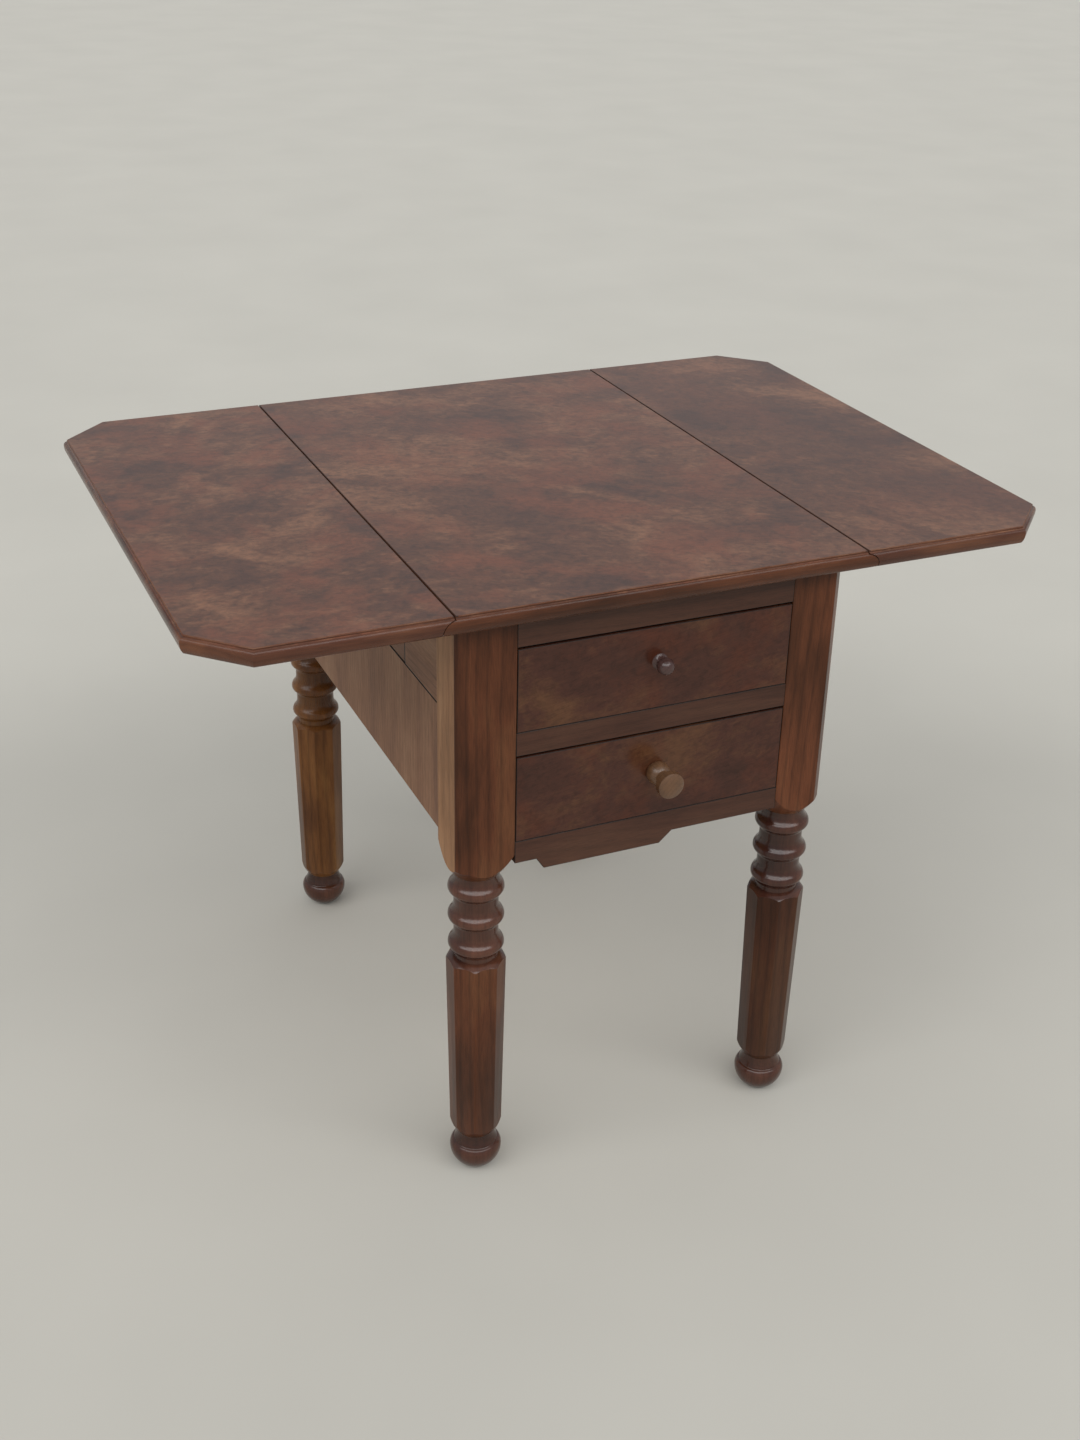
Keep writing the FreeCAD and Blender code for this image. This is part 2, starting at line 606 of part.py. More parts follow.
def build_leg(name, side, end):
    """A leg from one length of wood: canted post, turned rings, octagonal shaft and bun foot."""
    body = new_body(name, x=f"{side} * {LEG_X}", y=f"{end} * {LEG_Y}")
    half = "post_width / 2"
    canted = f"({half} - post_chamfer)"
    post = [
        (f"{-side} * {half}", f"{-end} * {half}"),
        (f"{side} * {half}", f"{-end} * {half}"),
        (f"{side} * {half}", f"{end} * {canted}"),
        (f"{side} * {canted}", f"{end} * {half}"),
        (f"{-side} * {half}", f"{end} * {half}"),
    ]
    pad(body, new_sketch(body, "post", "XY_Plane", [post], lift=POST_BOTTOM), "post_length")
    corner = f"post_width * {math.sqrt(0.5)} + {MARGIN}"
    rounding = turned_end("ring_root", POST_BOTTOM, corner, "post_end_height", "post_end_round", 1)
    turn_on_lathe("Groove", body, new_sketch(body, "post_end", "XZ_Plane", [rounding]), "Z_Axis")

    shaft = body.newObject("PartDesign::AdditiveLoft", f"{name}_shaft")
    shaft.Profile = new_sketch(body, "shaft_low", "XY_Plane", [octagon("shaft_low")], lift=SHAFT_BOTTOM)
    shaft.Sections = [new_sketch(body, "shaft_high", "XY_Plane", [octagon("shaft_high")], lift=SHAFT_TOP)]
    shaft.Ruled = True
    body.Tip = shaft
    doc.recompute()
    low_corner = f"shaft_low / 2 / {math.cos(math.pi / 8)} + {MARGIN}"
    high_corner = f"shaft_high / 2 / {math.cos(math.pi / 8)} + {MARGIN}"
    ends = [
        turned_end("foot_neck", SHAFT_BOTTOM, low_corner, "shaft_foot_height", "shaft_foot_round", 1),
        turned_end("ring_root", SHAFT_TOP, high_corner, "shaft_end_height", "shaft_end_round", -1),
    ]
    turn_on_lathe("Groove", body, new_sketch(body, "shaft_ends", "XZ_Plane", ends), "Z_Axis")
    turn_on_lathe("Revolution", body, new_sketch(body, "turning", "XZ_Plane", [turned_outline()]), "Z_Axis")
    cross_joints(body, side, end)
    side_joints(body, side, end)


def cross_joints(body, side, end):
    """Mortises for the drawer rails in a front leg, or the back panel's groove in a back leg."""
    if end < 0:
        middle = "(rail_depth - post_width) / 2"
        thick = "(tenon_thickness / 2 + glue_gap)"
        rails = ((UPPER_TOP, UNDER), (LOWER_TOP, UPPER_BOTTOM), (RAIL_BOTTOM, LOWER_BOTTOM))
        depth = "tenon_length + glue_gap"
        room = "(tenon_shoulder - glue_gap)"
        levels = [(f"{low} + {room}", f"{high} - {room}") for low, high in rails]
    else:
        middle = f"({BACK_MIDDLE} - {LEG_Y})"
        thick = "(tongue_thickness / 2 + glue_gap)"
        depth = "tongue_length + glue_gap"
        levels = [(f"{UNDER} - back_height - glue_gap", f"{UNDER} + {MARGIN}")]
    outlines = [rectangle(f"{middle} - {thick}", f"{middle} + {thick}", low, high) for low, high in levels]
    sketch = new_sketch(body, "cross_joints", "YZ_Plane", outlines, lift=f"{-side} * post_width / 2")
    cut(body, sketch, depth, side)


def side_joints(body, side, end):
    """The mortise for the inner rail and the groove for the side panel, in a post's inner face."""
    lift = f"{end} * post_width / 2"
    tenon_low = f"{FLY_SEAM} - inner_rail_lap + tenon_shoulder - glue_gap"
    tenon_high = f"{UNDER} - tenon_shoulder + glue_gap"
    groove_low, groove_high = f"{FLY_SEAM} - panel_height - glue_gap", f"{FLY_SEAM} + glue_gap"
    joints = {
        "rail_mortise": (RAIL_MIDDLE, "inner_tenon_thickness", "inner_tenon_length", tenon_low, tenon_high),
        "panel_groove": (SIDE_MIDDLE, "tongue_thickness", "tongue_length", groove_low, groove_high),
    }
    for joint, (across, thickness, length, low, high) in joints.items():
        middle = f"{side} * ({across} - {LEG_X})"
        thick = f"({thickness} / 2 + glue_gap)"
        outline = rectangle(f"{middle} - {thick}", f"{middle} + {thick}", low, high)
        cut(body, new_sketch(body, joint, "XZ_Plane", [outline], lift=lift), f"{length} + glue_gap", -end)


def tongued_board(label, at, along, run, thickness, height, tongue, shoulder="0"):
    """A board between two posts, with a tongue or tenon (length, thickness) on each end."""
    body = new_body(label, *at)
    length, thin = tongue
    sections = {
        "board": (f"({run}) / 2", f"({thickness}) / 2", "0"),
        "tongue": (f"({run}) / 2 + {length}", f"({thin}) / 2", shoulder),
    }
    for name, (half_run, half_thick, inset) in sections.items():
        halves = (half_run, half_thick) if along == "x" else (half_thick, half_run)
        outline = rectangle(f"-({halves[0]})", halves[0], f"-({halves[1]})", halves[1])
        pad(body, new_sketch(body, name, "XY_Plane", [outline], lift=inset), f"({height}) - 2 * {inset}")
    return body


def build_rails():
    """The three rails round the drawers. The lowest has a drop on its lower edge."""
    rails = {
        "front_top_rail": (UPPER_TOP, "top_rail_height"),
        "front_middle_rail": (LOWER_TOP, "middle_rail_height"),
        "front_bottom_rail": (RAIL_BOTTOM, "bottom_rail_height"),
    }
    tenon = ("tenon_length", "tenon_thickness")
    for label, (bottom, height) in rails.items():
        at = ("0", "(rail_depth - case_depth) / 2", bottom)
        body = tongued_board(label, at, "x", "drawer_opening", "rail_depth", height, tenon, "tenon_shoulder")
    drop = [
        ("-drop_left - drop_slope_left", f"{MARGIN}"),
        ("-drop_left - drop_slope_left", "0"),
        ("-drop_left", "-drop_depth"),
        ("drop_right", "-drop_depth"),
        ("drop_right + drop_slope_right", "0"),
        ("drop_right + drop_slope_right", f"{MARGIN}"),
    ]
    pad(body, new_sketch(body, "drop", "XZ_Plane", [drop]), "rail_depth", 0)


def build_panels():
    """Side panels, the inner rails behind their upper edges, and the back panel."""
    run = f"2 * {POST_INNER_Y}"
    tongue = ("tongue_length", "tongue_thickness")
    tenon = ("inner_tenon_length", "inner_tenon_thickness")
    for name, side in SIDES.items():
        at = (f"{side} * {SIDE_MIDDLE}", "0", f"{FLY_SEAM} - panel_height")
        tongued_board(f"side_panel_{name}", at, "y", run, "side_thickness", "panel_height", tongue)
        at = (f"{side} * {RAIL_MIDDLE}", "0", f"{FLY_SEAM} - inner_rail_lap")
        height = "fly_rail_height + inner_rail_lap"
        label = f"inner_side_rail_{name}"
        tongued_board(label, at, "y", run, "inner_rail_thickness", height, tenon, "tenon_shoulder")
    at = ("0", BACK_MIDDLE, f"{UNDER} - back_height")
    tongued_board("back_panel", at, "x", "drawer_opening", "back_thickness", "back_height", tongue)


def knuckle_fingers(body, end, levels):
    """Rounded fingers of a wooden knuckle joint, and the hole for its pin."""
    radius = "(side_thickness / 2 - knuckle_gap)"
    root = f"{end} * ({radius} + knuckle_gap + {MARGIN})"
    finger = [
        (f"{-end} * {radius}", root),
        (f"{end} * {radius}", root),
        (f"{end} * {radius}", "0"),
        ("0", f"{-end} * {radius}", radius, -1),
        (f"{-end} * {radius}", "0", radius, -1),
    ]
    for index, (low, high) in enumerate(levels):
        pad(body, new_sketch(body, f"finger_{index}", "XY_Plane", [finger], lift=low), f"({high}) - ({low})")
    hole = ("0", "0", "bracket_pin + running_gap")
    cut(body, new_sketch(body, "pin_hole", "XY_Plane", circles=[hole]), "fly_rail_height * 3")


def build_fly_rail(name, side):
    """The rail under a leaf: two fixed lengths and between them a bracket that swings out."""
    at = (f"{side} * {SIDE_MIDDLE}", "pivot_offset", FLY_SEAM)
    zone = f"fly_rail_height / {FINGERS}"
    gap = "knuckle_gap / 2"
    slim = "(side_thickness / 2 - knuckle_gap)"
    shoulder = "(side_thickness / 2)"
    tip_inner = "(bracket_length - bracket_bevel)"

    bracket = new_body(f"fly_bracket_{name}", *at)
    arm = [
        (f"{side} * {slim}", f"-{shoulder}"),
        (f"{side} * {slim}", "-bracket_length"),
        (f"{-side} * {slim}", f"-{tip_inner}"),
        (f"{-side} * {slim}", f"-{shoulder}"),
    ]
    height = "fly_rail_height - knuckle_gap - bracket_drop"
    pad(bracket, new_sketch(bracket, "arm", "XY_Plane", [arm], lift="knuckle_gap"), height)
    levels = [(f"{zone} * {k} + {gap}", f"{zone} * {k + 1} - {gap}") for k in range(1, FINGERS, 2)]
    knuckle_fingers(bracket, -1, levels)
    scoop = ("scoop_place - bracket_length", "knuckle_gap", "scoop_radius")
    sketch = new_sketch(bracket, "finger_hold", "YZ_Plane", circles=[scoop], lift=f"{side} * {slim}")
    cut(bracket, sketch, "scoop_depth", -side)

    rear = new_body(f"fly_rail_rear_{name}", *at)
    wide = "side_thickness / 2"
    outline = rectangle(f"-{wide}", wide, shoulder, f"{POST_INNER_Y} - pivot_offset")
    pad(rear, new_sketch(rear, "rail", "XY_Plane", [outline]), "fly_rail_height")
    levels = []
    for k in range(0, FINGERS, 2):
        low = "0" if k == 0 else f"{zone} * {k} + {gap}"
        high = "fly_rail_height" if k == FINGERS - 1 else f"{zone} * {k + 1} - {gap}"
        levels.append((low, high))
    knuckle_fingers(rear, 1, levels)

    front = new_body(f"fly_rail_front_{name}", *at)
    outline = [
        (f"{side} * {wide}", "-bracket_length - bracket_gap"),
        (f"{-side} * {wide}", f"-{tip_inner} - bracket_gap"),
        (f"{-side} * {wide}", f"-{POST_INNER_Y} - pivot_offset"),
        (f"{side} * {wide}", f"-{POST_INNER_Y} - pivot_offset"),
    ]
    pad(front, new_sketch(front, "rail", "XY_Plane", [outline]), "fly_rail_height")

    piece(f"bracket_pin_{name}", rod(f"bracket_pin_{name}", "bracket_pin", "fly_rail_height", *at))


def build_drawer_supports():
    """Runners, guides, kickers, stops and glue blocks inside the case."""
    run = (f"-{POST_INNER_Y}", POST_INNER_Y)
    inner_edge = f"{POST_INNER_X} - runner_reach"
    upper, lower, guides, kickers, stops, blocks = [], [], [], [], [], []
    for name, side in SIDES.items():
        levels = {"upper": (UPPER_BOTTOM, RAIL_INNER, upper), "lower": (LOWER_BOTTOM, SIDE_INNER, lower)}
        for level, (bottom, wall, runners) in levels.items():
            tag = f"{level}_{name}"
            thickness = (f"{bottom} - runner_thickness", bottom)
            runners.append(block(f"runner_{tag}", mirrored(side, inner_edge, wall), run, thickness))
            rise = (bottom, f"{bottom} + guide_height")
            guides.append(block(f"guide_{tag}", mirrored(side, POST_INNER_X, wall), run, rise))
            across = mirrored(side, "stop_offset", "stop_offset + stop_width")
            along = ("drawer_front + runner_gap - case_depth / 2", "rail_depth - case_depth / 2")
            stops.append(block(f"stop_{tag}", across, along, (bottom, f"{bottom} + stop_height")))
        rise = (f"{UPPER_TOP}", f"{UPPER_TOP} + kicker_thickness")
        kickers.append(block(f"kicker_{name}", mirrored(side, inner_edge, RAIL_INNER), run, rise))
        for step in (-1, 0, 1):
            across = mirrored(side, f"{RAIL_INNER} - block_side", RAIL_INNER)
            middle = f"{step} * block_spacing"
            along = (f"{middle} - block_length / 2", f"{middle} + block_length / 2")
            rise = (f"{UNDER} - block_side", UNDER)
            blocks.append(block(f"block_{name}_{step + 1}", across, along, rise))
    group("upper_drawer_runners", upper)
    group("lower_drawer_runners", lower)
    group("drawer_guides", guides)
    group("drawer_kickers", kickers)
    group("drawer_stops", stops)
    group("glue_blocks", blocks)


def tail_middles(low, high):
    """Middle heights of the dovetails between two levels, and half a tail's width at its root."""
    pitch = f"(({high}) - ({low})) / {TAILS}"
    return [f"({low} + {index + 0.5} * {pitch})" for index in range(TAILS)], f"({pitch} - pin_width) / 2"


def tail_sockets(low, high, root, tip):
    """Outlines of the sockets that take the tails of a drawer side, from the tails' roots to their tips."""
    middles, half = tail_middles(low, high)
    root_half, tip_half = f"({half} + glue_gap)", f"({half} + tail_flare + glue_gap)"
    way = 1 if number(tip) > number(root) else -1
    before, after = f"{root} - {way * MARGIN}", f"{tip} + {way} * glue_gap"
    outlines = []
    for middle in middles:
        root_low, root_high = f"{middle} - {root_half}", f"{middle} + {root_half}"
        lower = [(before, root_low), (root, root_low), (after, f"{middle} - {tip_half}")]
        upper = [(after, f"{middle} + {tip_half}"), (root, root_high), (before, root_high)]
        outlines.append(lower + upper)
    return outlines


def side_outline(bottom, back_bottom, top):
    """A drawer side seen square on: lapped tails at the front, through tails at the back."""
    back_root = "(drawer_length - drawer_back)"
    outline = [("drawer_front", bottom), ("drawer_length", bottom), ("drawer_length", back_bottom)]
    outline.append((back_root, back_bottom))
    middles, half = tail_middles(back_bottom, top)
    for middle in middles:
        outline.append((back_root, f"{middle} - {half}"))
        outline.append(("drawer_length", f"{middle} - {half} - tail_flare"))
        outline.append(("drawer_length", f"{middle} + {half} + tail_flare"))
        outline.append((back_root, f"{middle} + {half}"))
    outline += [(back_root, top), ("drawer_front", top)]
    middles, half = tail_middles(bottom, top)
    for middle in reversed(middles):
        outline.append(("drawer_front", f"{middle} + {half}"))
        outline.append(("front_lap", f"{middle} + {half} + tail_flare"))
        outline.append(("front_lap", f"{middle} - {half} - tail_flare"))
        outline.append(("drawer_front", f"{middle} - {half}"))
    return outline


def build_drawer(level, opening_bottom, opening_height, knob_outline):
    """One drawer: dovetailed front, sides and back, a bottom in grooves and a turned knob."""
    at = ("0", "-case_depth / 2", opening_bottom)
    knob_offset, knob_rise = f"{level}_knob_offset", f"{level}_knob_rise"
    half = f"({POST_INNER_X} - drawer_gap)"
    bottom = "runner_gap"
    front_top = f"({opening_height} - drawer_top_gap)"
    side_top = f"({front_top} - side_drop)"
    groove = ("(runner_gap + groove_rise)", "(runner_gap + groove_rise + drawer_bottom)")
    groove_top = f"({groove[1]} + glue_gap)"
    back_root = "(drawer_length - drawer_back)"
    groove_half = f"({half} - drawer_side + groove_depth)"

    front = new_body(f"drawer_{level}_front", *at)
    outline = rectangle(f"-{half}", half, bottom, front_top)
    pad(front, new_sketch(front, "board", "XZ_Plane", [outline]), "drawer_front", -1)
    outline = rectangle(f"-{groove_half}", groove_half, groove[0], groove_top)
    sketch = new_sketch(front, "groove", "XZ_Plane", [outline], lift="-drawer_front")
    cut(front, sketch, "groove_depth", 1)
    hole = (knob_offset, knob_rise, "spigot_radius + glue_gap")
    cut(front, new_sketch(front, "knob_hole", "XZ_Plane", circles=[hole]), "spigot_length + glue_gap", -1)

    back = new_body(f"drawer_{level}_back", *at)
    outline = rectangle(f"-{half}", half, back_root, "drawer_length")
    sketch = new_sketch(back, "board", "XY_Plane", [outline], lift=groove_top)
    pad(back, sketch, f"{side_top} - {groove_top}")

    for name, side in SIDES.items():
        sockets = tail_sockets(bottom, side_top, "drawer_front", "front_lap")
        sketch = new_sketch(front, f"sockets_{name}", "YZ_Plane", sockets, lift=f"{side} * {half}")
        cut(front, sketch, "drawer_side + glue_gap", -side)
        sockets = tail_sockets(groove_top, side_top, back_root, "drawer_length")
        sketch = new_sketch(back, f"sockets_{name}", "YZ_Plane", sockets, lift=f"{side} * {half}")
        cut(back, sketch, "drawer_side + glue_gap", -side)

        board = new_body(f"drawer_{level}_side_{name}", *at)
        outline = side_outline(bottom, groove_top, side_top)
        middle = f"{side} * ({half} - drawer_side / 2)"
        pad(board, new_sketch(board, "board", "YZ_Plane", [outline], lift=middle), "drawer_side", 0)
        outline = rectangle("0", f"drawer_length + {MARGIN}", groove[0], groove_top)
        sketch = new_sketch(board, "groove", "YZ_Plane", [outline], lift=f"{side} * ({half} - drawer_side)")
        cut(board, sketch, "groove_depth", side)

    across = (f"-{groove_half} + glue_gap", f"{groove_half} - glue_gap")
    front_face = "-case_depth / 2"
    along = (f"{front_face} + drawer_front - groove_depth + glue_gap", f"{front_face} + drawer_length")
    rise = (f"{opening_bottom} + {groove[0]}", f"{opening_bottom} + {groove[1]}")
    piece(f"drawer_{level}_bottom", block(f"drawer_{level}_bottom", across, along, rise))

    knob = new_body(f"drawer_{level}_knob", knob_offset, front_face, f"{opening_bottom} + {knob_rise}")
    spigot = [("0", "spigot_length"), ("spigot_radius", "spigot_length"), ("spigot_radius", "0")]
    sketch = new_sketch(knob, "turning", "XY_Plane", [spigot + knob_outline])
    turn_on_lathe("Revolution", knob, sketch, "Y_Axis")


def upper_knob():
    """Small ball on a waisted foot."""
    ball_middle = "(upper_knob_reach - upper_knob_radius)"
    meeting = f"-({ball_middle} - sqrt(upper_knob_radius^2 - upper_knob_waist^2))"
    return [
        ("upper_knob_foot", "0"),
        ("upper_knob_waist", meeting, "upper_waist_round", 1),
        ("upper_knob_radius", f"-{ball_middle}", "upper_knob_radius", -1),
        ("0", "-upper_knob_reach", "upper_knob_radius", -1),
    ]


def lower_knob():
    """Mushroom: bulb, hollow waist and a wide cap with a gently domed face."""
    rim_front = "(lower_cap_place + lower_cap_rim)"
    dome = bulge_round(f"lower_knob_reach - {rim_front}", "lower_knob_radius")
    return [
        ("lower_knob_foot", "0"),
        ("lower_knob_waist", "-lower_waist_place", "lower_bulb_round", -1),
        ("lower_knob_radius", "-lower_cap_place", "lower_waist_round", 1),
        ("lower_knob_radius", f"-{rim_front}"),
        ("0", "-lower_knob_reach", dome, -1),
    ]


def export_pieces():
    """Checks every object and every solid, then writes one file for each piece."""
    doc.recompute()
    broken = [item.Label for item in doc.Objects if {"Invalid", "Error"} & set(item.State)]
    shapes = {item.Label: item.Shape for item in pieces}
    bad = [label for label, shape in shapes.items() if shape.isNull() or not (shape.isValid() and shape.Solids)]
    if broken or bad:
        raise RuntimeError(f"failed objects {broken}, bad shapes {bad}")
    os.makedirs("parts", exist_ok=True)
    for item in pieces:
        item.Shape.exportStep(f"parts/{item.Label}.step")
        print(f"{item.Label}: {len(item.Shape.Solids)} solids, {item.Shape.Volume / 1000:.1f} cm3")


build_bed()
for side_name, side_sign in SIDES.items():
    build_leaf(side_name, side_sign)
build_hinges()
for side_name, side_sign in SIDES.items():
    for end_name, end_sign in ENDS.items():
        build_leg(f"leg_{end_name}_{side_name}", side_sign, end_sign)
build_rails()
build_panels()
for side_name, side_sign in SIDES.items():
    build_fly_rail(side_name, side_sign)
build_drawer_supports()
build_drawer("upper", UPPER_BOTTOM, "upper_drawer_height", upper_knob())
build_drawer("lower", LOWER_BOTTOM, "lower_drawer_height", lower_knob())
export_pieces()
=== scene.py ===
"""Looks of a drop-leaf work table with two drawers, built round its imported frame.

Run as a script in Blender. It finishes the wood, the knobs and the hinges, then sets the stage.
"""

import json
import math

import bmesh
import bpy
from mathutils import Matrix, Vector

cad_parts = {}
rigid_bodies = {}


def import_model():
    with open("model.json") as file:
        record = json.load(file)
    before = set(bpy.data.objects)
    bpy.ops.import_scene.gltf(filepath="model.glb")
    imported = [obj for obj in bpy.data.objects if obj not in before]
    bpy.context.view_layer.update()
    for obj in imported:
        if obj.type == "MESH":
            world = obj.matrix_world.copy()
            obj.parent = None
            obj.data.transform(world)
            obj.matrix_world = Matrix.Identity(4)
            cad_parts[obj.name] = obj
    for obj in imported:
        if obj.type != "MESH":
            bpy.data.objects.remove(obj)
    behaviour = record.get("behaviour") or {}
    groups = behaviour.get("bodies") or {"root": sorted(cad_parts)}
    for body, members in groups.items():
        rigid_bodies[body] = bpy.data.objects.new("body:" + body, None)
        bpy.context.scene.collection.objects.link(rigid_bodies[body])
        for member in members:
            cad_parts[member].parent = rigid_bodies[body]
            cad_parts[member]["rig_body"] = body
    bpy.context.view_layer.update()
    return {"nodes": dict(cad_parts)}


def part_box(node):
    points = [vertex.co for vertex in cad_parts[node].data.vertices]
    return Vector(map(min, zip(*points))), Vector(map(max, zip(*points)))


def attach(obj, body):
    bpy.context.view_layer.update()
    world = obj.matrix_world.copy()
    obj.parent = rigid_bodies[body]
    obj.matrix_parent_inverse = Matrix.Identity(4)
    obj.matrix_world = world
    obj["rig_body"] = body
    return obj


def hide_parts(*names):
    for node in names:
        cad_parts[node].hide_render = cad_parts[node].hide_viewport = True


bl_info = {
    "name": "Drop-leaf work table",
    "version": (1, 0, 0),
    "blender": (4, 5, 0),
    "location": "View3D > Sidebar > Table",
    "description": "Finishes a drop-leaf work table and sets it on a plain stage",
    "category": "Object",
}

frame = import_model()

# Sides of the table, and which way along x each one faces
SIDES = {"left": -1, "right": 1}
LEGS = ("leg_front_left", "leg_front_right", "leg_back_left", "leg_back_right")
RINGS = 3

# Where a finish stands on its piece: flats, rubbed edges, then a board's moulding or a leg's other parts
FLATS, RUBBED, MOULDED = range(3)
TURNED, POST_SIDE, FOOT = range(2, 5)

# A turned solid: its sides, the height from loop to loop, and how far its ends go into the wood beyond
SPIN_STEPS = 72
SPIN_HEIGHT = 0.0005
SUNK = 0.002

# Points nearer than this are one point, and faces that turn by less are one face
SAME_POINT = 1e-5
SAME_FACE = math.radians(0.5)

# Edges that turn by more than a corner are rubbed round, and those that turn by more than a crease look sharp
CORNER = math.radians(28)
CREASE = math.radians(32)

# A board's face is its edge where its normal rises by less, and a post's is its side where it points out more
EDGE_RISE = 0.8
SIDE_OUT = 0.99

# Painted shade: the radii between which it thins out in the hollows of turned work, its reach beside a leaf's
# seam, and how dark it makes each
HOLLOW_SHADE_RADII = (0.0235, 0.029)
SEAM_SHADE_REACH = 0.003
TURNED_HOLLOW_SHADE = 0.6
SEAM_SHADE_DEPTH = 0.3

# Heights on a leg between which its colour changes
FADE_HEIGHTS = (0.3, 0.41)

# Half the side of the floor, how far off the lamps hang, and their bearings from the camera's in degrees
FLOOR_REACH = 30
LAMP_DISTANCE = 3
LAMP_BEARINGS = (-60, -30, 0, 30, 60)

# How a piece's grain is turned on to a pattern's own x
GRAIN = {
    "x": (0, 0, 0),
    "y": (0, 0, -math.pi / 2),
    "z": (0, math.pi / 2, 0),
}


def linear(code):
    """A colour written as sRGB hex, as the linear RGBA that a shader takes."""
    shares = [int(code[start : start + 2], 16) / 255 for start in (1, 3, 5)]
    return [share / 12.92 if share <= 0.04045 else ((share + 0.055) / 1.055) ** 2.4 for share in shares] + [1.0]


def tone(name, description, code):
    """A colour that a user may change."""
    return bpy.props.FloatVectorProperty(
        name=name, description=description, subtype="COLOR", size=4, min=0, max=1, default=linear(code)
    )


def length(name, description, metres):
    """A length that a user may change."""
    return bpy.props.FloatProperty(
        name=name, description=description, subtype="DISTANCE", unit="LENGTH", min=0, default=metres
    )


def angle(name, description, degrees):
    """An angle that a user may change."""
    return bpy.props.FloatProperty(
        name=name, description=description, subtype="ANGLE", default=math.radians(degrees)
    )


class TableTones(bpy.types.PropertyGroup):
    """Colours of the table's woods and metals."""

    veneer_dark: tone("Veneer dark", "Clouds in the top's veneer", "#4a2b20")
    veneer_brown: tone("Veneer brown", "Ground of the top's veneer", "#5f3a28")
    veneer_red: tone("Veneer red", "Warm patches of the top's veneer", "#74402a")
    veneer_pale: tone("Veneer pale", "Worn patches of the top's veneer", "#855a40")
    burr_dark: tone("Burr dark", "Blotches in the drawer fronts", "#40251c")
    burr_brown: tone("Burr brown", "Ground of the drawer fronts", "#492a20")
    burr_red: tone("Burr red", "Warm patches of the drawer fronts", "#542b1c")
    burr_pale: tone("Burr pale", "Worn patches of the drawer fronts", "#5e3d28")
    edge_dark: tone("Edge dark", "Dark streaks along the top's moulded edges", "#3c2118")
    edge_brown: tone("Edge brown", "Ground of the top's moulded edges", "#593425")
    edge_pale: tone("Edge pale", "Golden streaks along the top's moulded edges", "#724831")
    rail_dark: tone("Rail dark", "Dark streaks of the front rails", "#3e251b")
    rail_brown: tone("Rail brown", "Ground of the front rails", "#4b2e22")
    rail_pale: tone("Rail pale", "Pale streaks of the front rails", "#523527")
    turned_dark: tone("Turned dark", "Dark streaks of the rings and feet", "#371e18")
    turned_brown: tone("Turned brown", "Ground of the rings and feet", "#4d2c20")
    turned_pale: tone("Turned pale", "Pale streaks of the rings and feet", "#613b2b")
    walnut_dark: tone("Walnut dark", "Dark heartwood of posts and shafts", "#422312")
    walnut_brown: tone("Walnut brown", "Ground of posts and shafts", "#5d341f")
    walnut_pale: tone("Walnut pale", "Golden streaks of posts and shafts", "#6c442a")
    # A paler wood, part real and part painted light: the golden tones are brightened so that the leg at the back
    # looks lit from the side
    golden_dark: tone("Golden dark", "Heartwood of the paler leg at the back", "#583419")
    golden_brown: tone("Golden brown", "Ground of the paler leg at the back", "#764b26")
    golden_pale: tone("Golden pale", "Streaks of the paler leg at the back", "#916537")
    panel_dark: tone("Panel dark", "Heartwood of the side boards", "#7e5c49")
    panel_brown: tone("Panel brown", "Ground of the side boards", "#8f6951")
    panel_pale: tone("Panel pale", "Streaks of the side boards", "#9b765c")
    # Painted light: the side tones make each post's outer side paler, as where the light falls on it
    side_dark: tone("Side dark", "Heartwood of the posts' bleached sides", "#8c6648")
    side_brown: tone("Side brown", "Ground of the posts' bleached sides", "#a27857")
    side_pale: tone("Side pale", "Streaks of the posts' bleached sides", "#b08663")
    # Painted shade: the two seam tones darken the rubbed edges of drawers, rails and panels, standing for the
    # shadow in the gaps between them
    seam_dark: tone("Seam dark", "Old wax along the edges of drawers and rails", "#1f1511")
    seam_brown: tone("Seam brown", "Thinner wax along the edges of drawers and rails", "#2e2019")
    # Wear and painted highlight: the worn tone makes the top's rubbed edges paler, for bare wood and for the
    # light caught along the arrises
    worn: tone("Worn edges", "Walnut rubbed bare along its edges", "#75513b")
    inner_dark: tone("Inner dark", "Late wood of the unpolished pine", "#93714a")
    inner_brown: tone("Inner brown", "Ground of the unpolished pine", "#b8966a")
    inner_pale: tone("Inner pale", "Early wood of the unpolished pine", "#cdb085")
    knob_dark: tone("Dark knob", "Stained fruitwood of the upper knob", "#4b3430")
    knob_pale: tone("Pale knob", "Boxwood of the lower knob", "#6a4b33")
    iron: tone("Hinge iron", "Blackened iron of the hinges", "#3b3836")
    steel: tone("Screw steel", "Worn steel of the screws", "#8b8680")
    floor: tone("Floor", "Pale studio floor", "#c4c1b8")


